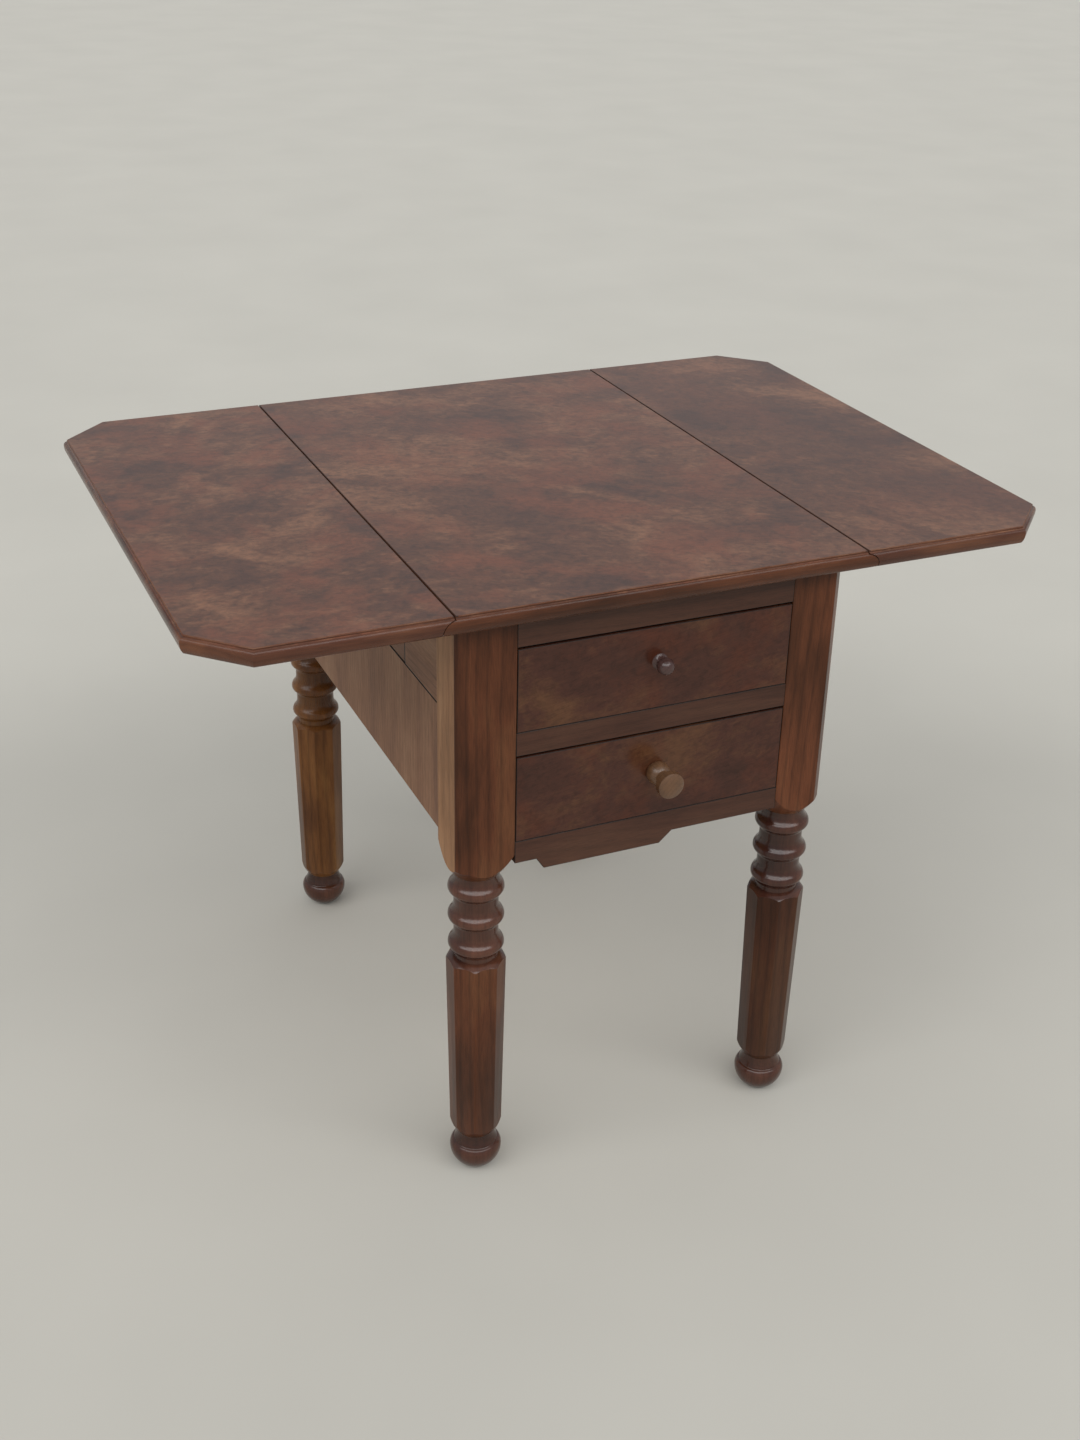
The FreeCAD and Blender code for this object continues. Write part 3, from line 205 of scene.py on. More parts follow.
class TableSizes(bpy.types.PropertyGroup):
    """Sizes of the finish and of the small ironwork."""

    arris: length("Arris", "How far an edge of the top or a leg is rubbed round", 0.0009)
    case_arris: length("Case arris", "How far an edge of a rail, panel or drawer front is rubbed round", 0.0008)
    fly_arris: length("Fly arris", "How far an edge of a fly rail or bracket is rubbed round", 0.0016)
    shortest_edge: length("Shortest edge", "Edges of a board shorter than this stay sharp", 0.006)
    shortest_leg_edge: length("Shortest leg edge", "Edges of a leg shorter than this stay sharp", 0.03)
    leaf_seam: length("Leaf seam", "From the middle of the top to the seam beside a leaf", 0.235)
    post_bottom: length("Post bottom", "Height where the rings begin under the post", 0.408)
    shaft_top: length("Shaft top", "Height where the rings end on the shaft", 0.3007)
    shaft_shoulder: length("Shaft shoulder", "Height of the shaft's turned upper end", 0.013)
    shaft_bottom: length("Shaft bottom", "Height where the foot's neck begins", 0.0515)
    ring_crest: length("Ring crest", "Radius of a ring", 0.0314)
    ring_round: length("Ring round", "How round a ring is above its crest", 0.009)
    ring_rise: length("Ring rise", "Height of the slope above a ring's crest", 0.0165)
    ring_return_round: length("Ring return round", "How round a ring is below its crest", 0.0065)
    ring_return: length("Ring return", "Height of the return below a ring's crest", 0.012)
    ring_hollow: length("Ring hollow", "Radius of the necks between the rings", 0.025)
    ring_pitch: length("Ring pitch", "From ring to ring", 0.0364)
    ring_drop: length("Ring drop", "From the post to the middle of the upper ring", 0.0185)
    foot_rim: length("Foot rim", "Widest radius of a foot", 0.0303)
    foot_round: length("Foot round", "How round a foot's rim is", 0.012)
    foot_widest: length("Foot widest", "Height of a foot's rim", 0.0275)
    foot_line: length("Foot line", "Height of the scored line above a foot's rim", 0.0095)
    line_width: length("Line width", "Half the width of the scored line", 0.0016)
    line_depth: length("Line depth", "Depth of the scored line", 0.0013)
    foot_flat: length("Foot flat", "Radius of a foot's underside", 0.01)
    foot_neck: length("Foot neck", "Radius of the neck above a foot", 0.022)
    screw_head: length("Screw head", "Radius of a countersunk head", 0.0036)
    screw_head_depth: length("Screw head depth", "Height of the head's cone", 0.0025)
    screw_shank: length("Screw shank", "Radius of the shank", 0.0018)
    screw_length: length("Screw length", "From the head's face to the point", 0.014)
    slot_width: length("Slot width", "Width of the driver's slot", 0.0011)
    slot_depth: length("Slot depth", "Depth of the driver's slot", 0.0011)


class StageSettings(bpy.types.PropertyGroup):
    """Camera and light."""

    camera_place: bpy.props.FloatVectorProperty(
        name="Camera place",
        description="Where the camera stands",
        subtype="XYZ",
        unit="LENGTH",
        default=(-0.7926, -1.8082, 1.4483),
    )
    camera_azimuth: angle("Camera azimuth", "Turn about the vertical, counter-clockwise", -23.94)
    camera_drop: angle("Camera drop", "Tilt below the horizon", 27.68)
    camera_roll: angle("Camera roll", "Turn about the line of sight", 1.19)
    lens: bpy.props.FloatProperty(
        name="Lens", description="Focal length in millimetres on a 36 mm long side", min=1, default=44.2
    )
    sky: bpy.props.FloatProperty(name="Sky", description="Strength of the sky overhead", min=0, default=0.66)
    lamp: bpy.props.FloatProperty(
        name="Lamp", description="Strength of each broad lamp on the camera's side", min=0, default=0.45
    )
    lamp_height: angle("Lamp height", "How high the lamps stand", 42)
    lamp_width: angle("Lamp width", "How broad a lamp looks", 26)


def add(tree, kind, inputs, stops=(), **settings):
    """A node with its settings. An input is a value or the output it is linked from, and stops are a ramp's."""
    node = tree.nodes.new(kind)
    for name, value in settings.items():
        setattr(node, name, value)
    for key, value in inputs.items():
        if isinstance(value, bpy.types.NodeSocket):
            tree.links.new(value, node.inputs[key])
        else:
            node.inputs[key].default_value = value
    for index, (place, shade) in enumerate(stops):
        elements = node.color_ramp.elements
        stop = elements[index] if index < len(elements) else elements.new(place)
        stop.position = place
        stop.color = shade
    return node


def per_metre(millimetres):
    """The scale of a pattern whose features are that many millimetres wide."""
    return 1000 / millimetres


def grey(level):
    """A neutral shade, for a ramp that darkens or lightens another colour."""
    return (level, level, level, 1)


def scaled(shade, share):
    """A colour made darker or paler."""
    return [min(channel * share, 1) for channel in shade[:3]] + [1]


def shades(tones, wood, depths=("dark", "brown", "pale")):
    """The tones of one wood, from dark to pale."""
    return [getattr(tones, f"{wood}_{depth}") for depth in depths]


def figured(tones, wood):
    """The tones of a veneer, with its red before the pale one."""
    return shades(tones, wood, ("dark", "brown", "red", "pale"))


def new_material(name, even):
    """A material with its shader, and on the shader itself the values that are even all over."""
    material = bpy.data.materials.new(name)
    material.use_nodes = True
    shader = material.node_tree.nodes["Principled BSDF"]
    for socket, value in even.items():
        shader.inputs[socket].default_value = value
    return material, material.node_tree, shader


def grained(tree, grain, pith=(0, 0, 0)):
    """Object coordinates with the grain along x, counted from the tree's pith."""
    where = add(tree, "ShaderNodeTexCoord", {}).outputs["Object"]
    turned = add(tree, "ShaderNodeMapping", {"Vector": where, "Rotation": GRAIN[grain], "Location": pith})
    return turned.outputs["Vector"]


def noise(tree, vector, share, size_mm, seed=0.0, **inputs):
    """Noise of a size, drawn out along the grain to that size divided by share."""
    drawn = add(tree, "ShaderNodeVectorMath", {0: vector, 1: (share, 1, 1)}, operation="MULTIPLY")
    values = {name.title(): value for name, value in inputs.items()}
    values.update({"Vector": drawn.outputs["Vector"], "Scale": per_metre(size_mm), "W": seed})
    return add(tree, "ShaderNodeTexNoise", values, noise_dimensions="4D")


def darkened(tree, colour, shade, depth=1.0):
    """A colour multiplied by a shade."""
    inputs = {0: depth, 6: colour, 7: shade}
    return add(tree, "ShaderNodeMix", inputs, data_type="RGBA", blend_type="MULTIPLY").outputs[2]


def polish(tree, shader, colour, height, gloss, depth):
    """Links colour, a roughness that varies by a height, and the bump of open grain."""
    rough = add(tree, "ShaderNodeMapRange", {"Value": height, "To Min": gloss[1], "To Max": gloss[0]})
    bump = add(tree, "ShaderNodeBump", {"Strength": 0.35, "Distance": depth, "Height": height})
    tree.links.new(colour, shader.inputs["Base Color"])
    tree.links.new(rough.outputs["Result"], shader.inputs["Roughness"])
    tree.links.new(bump.outputs["Normal"], shader.inputs["Normal"])


def hollow_shade(tree, centre):
    """Painted shade in the hollows of turned work, darker nearer the lathe's axis."""
    deep, shallow = HOLLOW_SHADE_RADII
    where = add(tree, "ShaderNodeTexCoord", {}).outputs["Object"]
    offset = add(tree, "ShaderNodeVectorMath", {0: where, 1: centre}, operation="SUBTRACT").outputs["Vector"]
    flat = add(tree, "ShaderNodeVectorMath", {0: offset, 1: (1, 1, 0)}, operation="MULTIPLY").outputs["Vector"]
    radius = add(tree, "ShaderNodeVectorMath", {0: flat}, operation="LENGTH").outputs["Value"]
    inputs = {"Value": radius, "From Min": deep, "From Max": shallow, "To Min": TURNED_HOLLOW_SHADE}
    return add(tree, "ShaderNodeMapRange", inputs).outputs["Result"]


def seam_shade(tree, place):
    """Painted shade beside the seams of the leaves, by the distance from the middle of the top."""
    where = add(tree, "ShaderNodeTexCoord", {}).outputs["Object"]
    across = add(tree, "ShaderNodeSeparateXYZ", {"Vector": where}).outputs["X"]
    outwards = add(tree, "ShaderNodeMath", {0: across}, operation="ABSOLUTE").outputs["Value"]
    near = add(tree, "ShaderNodeMath", {0: outwards, 1: place, 2: SEAM_SHADE_REACH}, operation="COMPARE")
    inputs = {"Value": near.outputs["Value"], "To Min": 1.0, "To Max": SEAM_SHADE_DEPTH}
    return add(tree, "ShaderNodeMapRange", inputs).outputs["Result"]


def painted_light_fade(tree, colour, low, high):
    """A colour that changes up a leg, from one share of it on the shaft to another on the post: painted shade
    below and painted light above.
    """
    shaft, post = FADE_HEIGHTS
    where = add(tree, "ShaderNodeTexCoord", {}).outputs["Object"]
    height = add(tree, "ShaderNodeSeparateXYZ", {"Vector": where}).outputs["Z"]
    inputs = {"Value": height, "From Min": shaft, "From Max": post, "To Min": low, "To Max": high}
    share = add(tree, "ShaderNodeMapRange", inputs).outputs["Result"]
    return add(tree, "ShaderNodeVectorMath", {0: colour, "Scale": share}, operation="SCALE").outputs["Vector"]


def solid_wood(name, tones, grain, pith, ring_mm, gloss, figure=0.5, shine=0.3, centre=None, fade=None):
    """Sawn and polished wood. Growth rings cut at a slant give its arches, and open pores its fine dark dashes.

    Figure is how dark the late wood is. Centre is the axis of turned work, whose hollows take painted shade, and
    fade the shares of its colour that a leg has on the shaft and on the post, painted shade below and painted
    light above.
    """
    material, tree, shader = new_material(name, {"Specular IOR Level": shine})
    place = grained(tree, grain, pith)
    wander = noise(tree, place, 0.25, 60, detail=3.0, roughness=0.55)
    # The rings wander by up to 16 mm, and draw in slowly along the trunk
    inputs = {0: wander.outputs["Color"], 1: (0, 0.016, 0.016), 2: place}
    swayed = add(tree, "ShaderNodeVectorMath", inputs, operation="MULTIPLY_ADD").outputs["Vector"]
    coned = add(tree, "ShaderNodeVectorMath", {0: swayed, 1: (0.06, 1, 1)}, operation="MULTIPLY")
    radius = add(tree, "ShaderNodeVectorMath", {0: coned.outputs["Vector"]}, operation="LENGTH")
    inputs = {0: radius.outputs["Value"], 1: per_metre(ring_mm)}
    years = add(tree, "ShaderNodeMath", inputs, operation="MULTIPLY")
    year = add(tree, "ShaderNodeMath", {0: years.outputs["Value"]}, operation="FRACT")
    late = add(
        tree,
        "ShaderNodeValToRGB",
        {"Fac": year.outputs["Value"]},
        [(0, grey(0.95)), (0.55, grey(1)), (0.88, grey(1 - figure)), (1, grey(0.92))],
    )
    cloud = noise(tree, place, 0.22, 38, detail=4.0, distortion=0.4)
    dark, brown, pale = tones
    ground = add(
        tree, "ShaderNodeValToRGB", {"Fac": cloud.outputs["Fac"]}, [(0.32, dark), (0.5, brown), (0.7, pale)]
    )
    # Pores are about 0.4 mm wide, drawn 1.1 mm wide so that they show
    pores = noise(tree, place, 0.05, 1.1, detail=2.0, roughness=0.7)
    pore_shade = add(
        tree, "ShaderNodeValToRGB", {"Fac": pores.outputs["Fac"]}, [(0.34, grey(0.66)), (0.56, grey(1.0))]
    )
    colour = darkened(tree, ground.outputs["Color"], late.outputs["Color"])
    colour = darkened(tree, colour, pore_shade.outputs["Color"], 0.8)
    if centre is not None:
        # Painted shade in the hollows of turned work
        colour = darkened(tree, colour, hollow_shade(tree, centre))
    if fade:
        # Painted shade on a leg's shaft and painted light on its post
        colour = painted_light_fade(tree, colour, *fade)
    polish(tree, shader, colour, pores.outputs["Fac"], gloss, 0.0003)
    return material


def veneer(name, tones, turn, cloud_mm, gloss, shine, shift, fine, warmth):
    """Figured veneer, waxed and worn: clouds of dark and pale wood, patches of red, streaks and burr flecks.

    Fine is how much the streaks and flecks show, and warmth how much the red does.
    """
    material, tree, shader = new_material(name, {"Specular IOR Level": shine})
    where = add(tree, "ShaderNodeTexCoord", {}).outputs["Object"]
    inputs = {"Vector": where, "Rotation": turn, "Location": shift}
    place = add(tree, "ShaderNodeMapping", inputs).outputs["Vector"]
    cloud = noise(tree, place, 0.75, cloud_mm, detail=6.0, roughness=0.45 + 0.15 * fine, distortion=1.0)
    streak = noise(tree, place, 0.6, 12, detail=6.0, roughness=0.7, distortion=1.2)
    fleck = noise(tree, place, 0.7, 8, detail=3.0, roughness=0.6, distortion=1.2)
    rust = noise(tree, place, 0.9, cloud_mm * 0.7, seed=4.0, detail=7.0, roughness=0.6)
    inputs = {0: 0.36 * fine, 2: cloud.outputs["Fac"], 3: streak.outputs["Fac"]}
    blended = add(tree, "ShaderNodeMix", inputs, data_type="FLOAT").outputs[0]
    dark, brown, red, pale = tones
    shade = add(tree, "ShaderNodeValToRGB", {"Fac": blended}, [(0.4, dark), (0.5, brown), (0.62, pale)])
    inputs = {"Value": rust.outputs["Fac"], "From Min": 0.48, "From Max": 0.64, "To Max": warmth}
    reddened = add(tree, "ShaderNodeMapRange", inputs).outputs["Result"]
    ground = add(tree, "ShaderNodeMix", {0: reddened, 6: shade.outputs["Color"], 7: red}, data_type="RGBA")
    fleck_shade = add(
        tree, "ShaderNodeValToRGB", {"Fac": fleck.outputs["Fac"]}, [(0.36, grey(0.5)), (0.54, grey(1.0))]
    )
    # Fibres are about 0.3 mm wide, drawn 1 mm wide so that they show
    fibre = noise(tree, place, 0.06, 1.0, detail=2.0, roughness=0.7)
    fibre_shade = add(
        tree, "ShaderNodeValToRGB", {"Fac": fibre.outputs["Fac"]}, [(0.3, grey(0.72)), (0.6, grey(1.0))]
    )
    colour = darkened(tree, ground.outputs[2], fleck_shade.outputs["Color"], 0.65 * fine)
    colour = darkened(tree, colour, fibre_shade.outputs["Color"], 0.8)
    polish(tree, shader, colour, fibre.outputs["Fac"], gloss, 0.00015)
    return material


def edge_wood(name, low, high, seam_place=None):
    """Walnut along an edge in two tones, duller than the flats: on the top worn and with a painted highlight, on
    the case painted shade.
    """
    made = bpy.data.materials.get(name)
    if made:
        return made
    material, tree, shader = new_material(name, {"Specular IOR Level": 0.3})
    place = grained(tree, "x")
    patches = noise(tree, place, 1, 25, detail=4.0, roughness=0.65)
    ramp = add(tree, "ShaderNodeValToRGB", {"Fac": patches.outputs["Fac"]}, [(0.4, low), (0.66, high)])
    colour = ramp.outputs["Color"]
    if seam_place:
        # Painted shade beside the leaves' seams
        colour = darkened(tree, colour, seam_shade(tree, seam_place))
    polish(tree, shader, colour, patches.outputs["Fac"], (0.35, 0.5), 0.0001)
    return material


def metal(name, shade, roughness, grit_mm, stain):
    """Forged or rolled metal: fine pits that break up its shine, and patches of dull stain."""
    material, tree, shader = new_material(name, {"Metallic": 1.0})
    place = grained(tree, "x")
    pits = noise(tree, place, 1, grit_mm, detail=4.0)
    patches = noise(tree, place, 1, 9, detail=3.0, roughness=0.6)
    stops = [(0.38, scaled(shade, stain)), (0.62, shade)]
    colour = add(tree, "ShaderNodeValToRGB", {"Fac": patches.outputs["Fac"]}, stops).outputs["Color"]
    polish(tree, shader, colour, pits.outputs["Fac"], (roughness, roughness + 0.2), 0.0002)
    return material


def paint(node, material):
    """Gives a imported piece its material."""
    frame["nodes"][node].material_slots[0].material = material


def loose_copy(node):
    """A piece's shape with its triangles merged back into whole faces."""
    shape = bmesh.new()
    shape.from_mesh(frame["nodes"][node].data)
    bmesh.ops.remove_doubles(shape, verts=shape.verts, dist=SAME_POINT)
    bmesh.ops.dissolve_limit(
        shape, angle_limit=SAME_FACE, verts=shape.verts, edges=shape.edges, use_dissolve_boundaries=False
    )
    return shape


def flowing(offset, crest, crest_round, hollow, reach):
    """Radius of turned work at a distance from a crest: round on the crest, then one curve into the hollow.

    Crest and hollow are radii, and reach is the distance along the axis between their middles.
    """
    centre = crest - crest_round
    gap = hollow - centre
    hollow_round = (gap**2 + reach**2 - crest_round**2) / (2 * (crest_round - gap))
    turn = math.atan2(reach, gap + hollow_round)
    distance = min(abs(offset), reach)
    if distance < crest_round * math.sin(turn):
        return centre + math.sqrt(crest_round**2 - distance**2)
    return hollow + hollow_round - math.sqrt(hollow_round**2 - (reach - distance) ** 2)


def heights(low, high):
    """Heights of a turned solid's loops, from low to high."""
    steps = round((high - low) / SPIN_HEIGHT)
    return [low + (high - low) * step / steps for step in range(steps + 1)]


def ring_outline(sizes):
    """Radius and height up three rings, each with a long slope above its crest and a short return below it."""
    outline = []
    for height in heights(sizes.shaft_top - SUNK, sizes.post_bottom + SUNK):
        below = sizes.post_bottom - sizes.ring_drop - height
        ring = min(max(round(below / sizes.ring_pitch), 0), RINGS - 1)
        offset = below - ring * sizes.ring_pitch
        if offset < 0:
            crest_round, reach = sizes.ring_round, sizes.ring_rise
        else:
            crest_round, reach = sizes.ring_return_round, sizes.ring_return
        outline.append((flowing(offset, sizes.ring_crest, crest_round, sizes.ring_hollow, reach), height))
    return outline


def foot_outline(sizes):
    """Radius and height up a foot: a bowl, its rim, a scored line, and a hollow that ends inside the shaft."""
    side = sizes.foot_rim - sizes.foot_flat
    bowl = (side**2 + sizes.foot_widest**2) / (2 * side)
    outline = []
    for height in heights(0, sizes.shaft_bottom + SUNK):
        above = height - sizes.foot_widest
        if above < 0:
            radius = sizes.foot_rim - bowl + math.sqrt(bowl**2 - above**2)
        else:
            reach = sizes.shaft_bottom - sizes.foot_widest
            radius = flowing(above, sizes.foot_rim, sizes.foot_round, sizes.foot_neck, reach)
        from_line = abs(above - sizes.foot_line) / sizes.line_width
        outline.append((radius - sizes.line_depth * max(1 - from_line**2, 0), height))
    return outline


def spin(shape, outline, middle, finish):
    """Adds a closed solid turned about an upright axis."""
    turns = [2 * math.pi * step / SPIN_STEPS for step in range(SPIN_STEPS)]
    loops = [
        [
            shape.verts.new((middle.x + radius * math.cos(turn), middle.y + radius * math.sin(turn), height))
            for turn in turns
        ]
        for radius, height in outline
    ]
    faces = [shape.faces.new(loops[0][::-1]), shape.faces.new(loops[-1])]
    for low, high in zip(loops, loops[1:]):
        for step in range(SPIN_STEPS):
            after = (step + 1) % SPIN_STEPS
            faces.append(shape.faces.new((low[step], low[after], high[after], high[step])))
    for face in faces:
        face.material_index = finish


def board_finish(face):
    """Which finish a board's face takes: the moulding's where it stands up, as the edge of a board does."""
    return MOULDED if abs(face.normal.z) < EDGE_RISE else FLATS


def soften(node, finishes, arris, shortest, finish_of=None, reshape=None):
    """Puts in a piece's place a copy whose long outer edges are rubbed round.

    The first finish is that of the flats and the second that of the rubbed edges. Where finish_of is given, it
    gives the place of a face's finish, and reshape changes the copy before its edges are rubbed.
    """
    shape = loose_copy(node)
    if finish_of:
        for face in shape.faces:
            face.material_index = finish_of(face)
    if reshape:
        reshape(shape)
    edges = [
        edge
        for edge in shape.edges
        if len(edge.link_faces) == 2
        and edge.is_convex
        and edge.calc_face_angle() > CORNER
        and edge.calc_length() > shortest
    ]
    if not edges:
        raise RuntimeError(f"{node} has no edge to soften")
    rounded = bmesh.ops.bevel(
        shape,
        geom=edges,
        offset=arris,
        offset_type="OFFSET",
        segments=3,
        profile=0.5,
        affect="EDGES",
        clamp_overlap=False,
        material=RUBBED,
    )
    rubbed = set(rounded["faces"])
    for face in shape.faces:
        face.smooth = True
    for edge in shape.edges:
        faces = edge.link_faces
        meets_flat = len(faces) == 2 and (faces[0] in rubbed) != (faces[1] in rubbed)
        edge.smooth = not meets_flat and len(faces) == 2 and edge.calc_face_angle() < CREASE
    mesh = bpy.data.meshes.new(f"{node}_finished")
    shape.to_mesh(mesh)
    shape.free()
    for finish in finishes:
        mesh.materials.append(finish)
    piece = bpy.data.objects.new(mesh.name, mesh)
    bpy.context.scene.collection.objects.link(piece)
    source = frame["nodes"][node]
    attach(piece, source["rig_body"])
    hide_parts(node)


class TABLE_OT_finish_top(bpy.types.Operator):
    """Veneers the middle of the top and its two leaves, and rubs their edges"""

    bl_idname = "table.finish_top"
    bl_label = "Finish top"

    def execute(self, context):
        tones, sizes = context.scene.table_tones, context.scene.table_sizes
        figure = figured(tones, "veneer")
        # The top's rubbed edges are paler for wear and for a painted highlight along the arrises, and darkened by
        # painted shade beside the leaves' seams
        worn = edge_wood("rubbed_walnut_edge", tones.walnut_brown, tones.worn, sizes.leaf_seam)
        pith = (0, 0.3, -0.6)
        # Painted light: the middle board's moulded edge takes the warmer walnut tones, standing for the light on
        # its front edge
        edges = {
            name: solid_wood(f"moulded_{name}_edge", shades(tones, wood), "x", pith, 9, (0.2, 0.34), figure=0.2)
            for name, wood in (("walnut", "edge"), ("brown_walnut", "walnut"))
        }
        # Each board's cut of veneer: its slant, its clouds' size, its place in the log, its red and its edge
        cuts = {
            "top_board": (0.5, 120, (0.3, 0.1, 0), 0.8, "brown_walnut"),
            "leaf_left": (0.12, 80, (0.9, 0.4, 0), 0.8, "walnut"),
            "leaf_right": (0.75, 140, (1.7, 0.2, 0), 0.3, "walnut"),
        }
        for node, (slant, cloud_mm, shift, warmth, edge) in cuts.items():
            name = f"figured_walnut_veneer_{node}"
            finish = veneer(name, figure, (0, 0, slant), cloud_mm, (0.24, 0.36), 0.45, shift, 1.0, warmth)
            soften(node, (finish, worn, edges[edge]), sizes.arris, sizes.shortest_edge, board_finish)
        return {"FINISHED"}


class TABLE_OT_finish_case(bpy.types.Operator):
    """Polishes the rails, panels and fly rails of the case"""

    bl_idname = "table.finish_case"
    bl_label = "Finish case"

    def execute(self, context):
        tones, sizes = context.scene.table_tones, context.scene.table_sizes
        # Painted shade in the gaps round each board's rubbed edges
        seam = edge_wood("wax_darkened_seam", tones.seam_dark, tones.seam_brown)
        # Each board: its grain, and how far from the heart of the tree it was sawn
        boards = {
            "front_top_rail": ("x", (0.1, 0.39, -0.66)),
            "front_middle_rail": ("x", (0.4, 0.41, -0.5)),
            "front_bottom_rail": ("x", (0.7, 0.40, -0.40)),
            "back_panel": ("x", (0.2, -0.45, -0.6)),
        }
        for side, sign in SIDES.items():
            boards[f"side_panel_{side}"] = ("z", (0.3, 0.42, sign * 0.4))
            boards[f"fly_rail_front_{side}"] = ("y", (0.1, sign * 0.30, -0.71))
            boards[f"fly_rail_rear_{side}"] = ("y", (0.1, sign * 0.30, -0.71))
            boards[f"fly_bracket_{side}"] = ("y", (0.6, sign * 0.31, -0.64))
        for node, (grain, pith) in boards.items():
            if grain == "x":
                wood, gloss, shine = shades(tones, "rail"), (0.18, 0.32), 0.3
            else:
                wood, gloss, shine = shades(tones, "panel"), (0.4, 0.55), 0.08
            name = f"polished_walnut_{node}"
            finish = solid_wood(name, wood, grain, pith, 7, gloss, figure=0.16, shine=shine)
            arris = sizes.fly_arris if node.startswith("fly") else sizes.case_arris
            soften(node, (finish, seam), arris, sizes.shortest_edge)
        return {"FINISHED"}


class TABLE_OT_finish_legs(bpy.types.Operator):
    """Polishes the four legs, with their canted posts, rings and eight-sided shafts"""

    bl_idname = "table.finish_legs"
    bl_label = "Finish legs"

    def execute(self, context):
        tones, sizes = context.scene.table_tones, context.scene.table_sizes

        def finish_of(face):
            """Which finish a face takes: the rings' on the shaft's shoulder, and on a post's outer side paler
            tones as painted light.
            """
            middle = face.calc_center_median()
            if sizes.shaft_top - sizes.shaft_shoulder < middle.z < sizes.shaft_top:
                return TURNED
            faces_out = face.normal.x * math.copysign(1, middle.x) > SIDE_OUT
            return POST_SIDE if faces_out and middle.z > sizes.post_bottom else FLATS

        # Turned wood: its tones, its roughness and its shine
        bright = ("turned", (0.1, 0.2), 0.45)
        dull = ("golden", (0.22, 0.34), 0.3)
        for number, node in enumerate(LEGS):
            low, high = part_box(node)
            middle = (low + high) / 2
            pith = (0.2 * number - 0.5, -middle.y + 0.045, middle.x + 0.03)
            # One leg is of a paler wood, the more so as painted light, and the front right one is darker below
            # than above: painted shade on its shaft and painted light on its post
            golden = node == "leg_back_left"
            wood = shades(tones, "golden" if golden else "walnut")
            fade = (0.56, 1.3) if node == "leg_front_right" else None
            name = f"waxed_walnut_{node}"
            flats = solid_wood(name, wood, "z", pith, 11, (0.26, 0.4), figure=0.3, shine=0.22, fade=fade)
            turned = []
            for part, (tint, gloss, shine) in (("rings", dull if golden else bright), ("foot", bright)):
                name = f"turned_walnut_{part}_{node}"
                wood = shades(tones, tint)
                turned.append(
                    solid_wood(name, wood, "z", pith, 8, gloss, figure=0.15, shine=shine, centre=middle)
                )
            rings, foot = turned
            # Painted light: the post's outer side is paler, where the light falls on it
            name = f"bleached_walnut_{node}"
            wood = shades(tones, "side")
            lit_post_side = solid_wood(name, wood, "z", pith, 11, (0.4, 0.55), figure=0.2, shine=0.08)

            def turn_again(shape, middle=middle):
                """Turns the rings and the foot afresh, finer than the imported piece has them."""
                old = [
                    face
                    for face in shape.faces
                    if sizes.shaft_top < face.calc_center_median().z < sizes.post_bottom
                    or face.calc_center_median().z < sizes.shaft_bottom
                ]
                bmesh.ops.delete(shape, geom=old, context="FACES")
                bmesh.ops.holes_fill(shape, edges=[edge for edge in shape.edges if edge.is_boundary])
                bmesh.ops.recalc_face_normals(shape, faces=shape.faces)
                spin(shape, ring_outline(sizes), middle, TURNED)
                spin(shape, foot_outline(sizes), middle, FOOT)

            finishes = (flats, flats, rings, lit_post_side, foot)
            soften(node, finishes, sizes.arris, sizes.shortest_leg_edge, finish_of, turn_again)
        return {"FINISHED"}


class TABLE_OT_finish_drawers(bpy.types.Operator):
    """Veneers the drawer fronts, and leaves the drawers' insides and the framing as planed pine"""

    bl_idname = "table.finish_drawers"
    bl_label = "Finish drawers"

    def execute(self, context):
        tones, sizes = context.scene.table_tones, context.scene.table_sizes
        # Painted shade in the gaps round the drawer fronts
        seam = edge_wood("wax_darkened_seam", tones.seam_dark, tones.seam_brown)
        figure = figured(tones, "burr")
        pine = shades(tones, "inner")
        planed = {
            grain: solid_wood(f"planed_pine_along_{grain}", pine, grain, pith, 4, (0.6, 0.75), figure=0.3)
            for grain, pith in (("x", (0, 0.13, -0.47)), ("y", (0, 0.11, -0.49)), ("z", (0, 0.1, 0.12)))
        }
        # Each drawer front's place in the log
        for level, shift in (("upper", (0.55, 0.6, 0.2)), ("lower", (0.85, 0.1, 0.4))):
            name = f"burr_walnut_veneer_{level}"
            finish = veneer(name, figure, (0, 0.2, 0), 85, (0.16, 0.26), 0.3, shift, 0.7, 0.8)
            soften(f"drawer_{level}_front", (finish, seam), sizes.case_arris, sizes.shortest_edge)
            for part, grain in (("back", "x"), ("side_left", "y"), ("side_right", "y"), ("bottom", "x")):
                paint(f"drawer_{level}_{part}", planed[grain])
            paint(f"{level}_drawer_runners", planed["y"])
        for node in ("drawer_guides", "drawer_kickers", "inner_side_rail_left", "inner_side_rail_right"):
            paint(node, planed["y"])
        for node in ("drawer_stops", "glue_blocks"):
            paint(node, planed["z"])
        return {"FINISHED"}


class TABLE_OT_finish_knobs(bpy.types.Operator):
    """Stains the small upper knob and leaves the large lower one pale"""

    bl_idname = "table.finish_knobs"
    bl_label = "Finish knobs"

    def execute(self, context):
        tones = context.scene.table_tones
        for level, name, shade, gloss in (
            ("upper", "stained_fruitwood", tones.knob_dark, (0.12, 0.26)),
            ("lower", "turned_boxwood", tones.knob_pale, (0.22, 0.4)),
        ):
            low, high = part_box(f"drawer_{level}_knob")
            middle = (low + high) / 2
            wood = [scaled(shade, share) for share in (0.6, 1, 1.25)]
            pith = (0, middle.x + 0.004, -middle.z + 0.003)
            finish = solid_wood(name, wood, "y", pith, 3, gloss, figure=0.18, shine=0.5)
            paint(f"drawer_{level}_knob", finish)
        return {"FINISHED"}


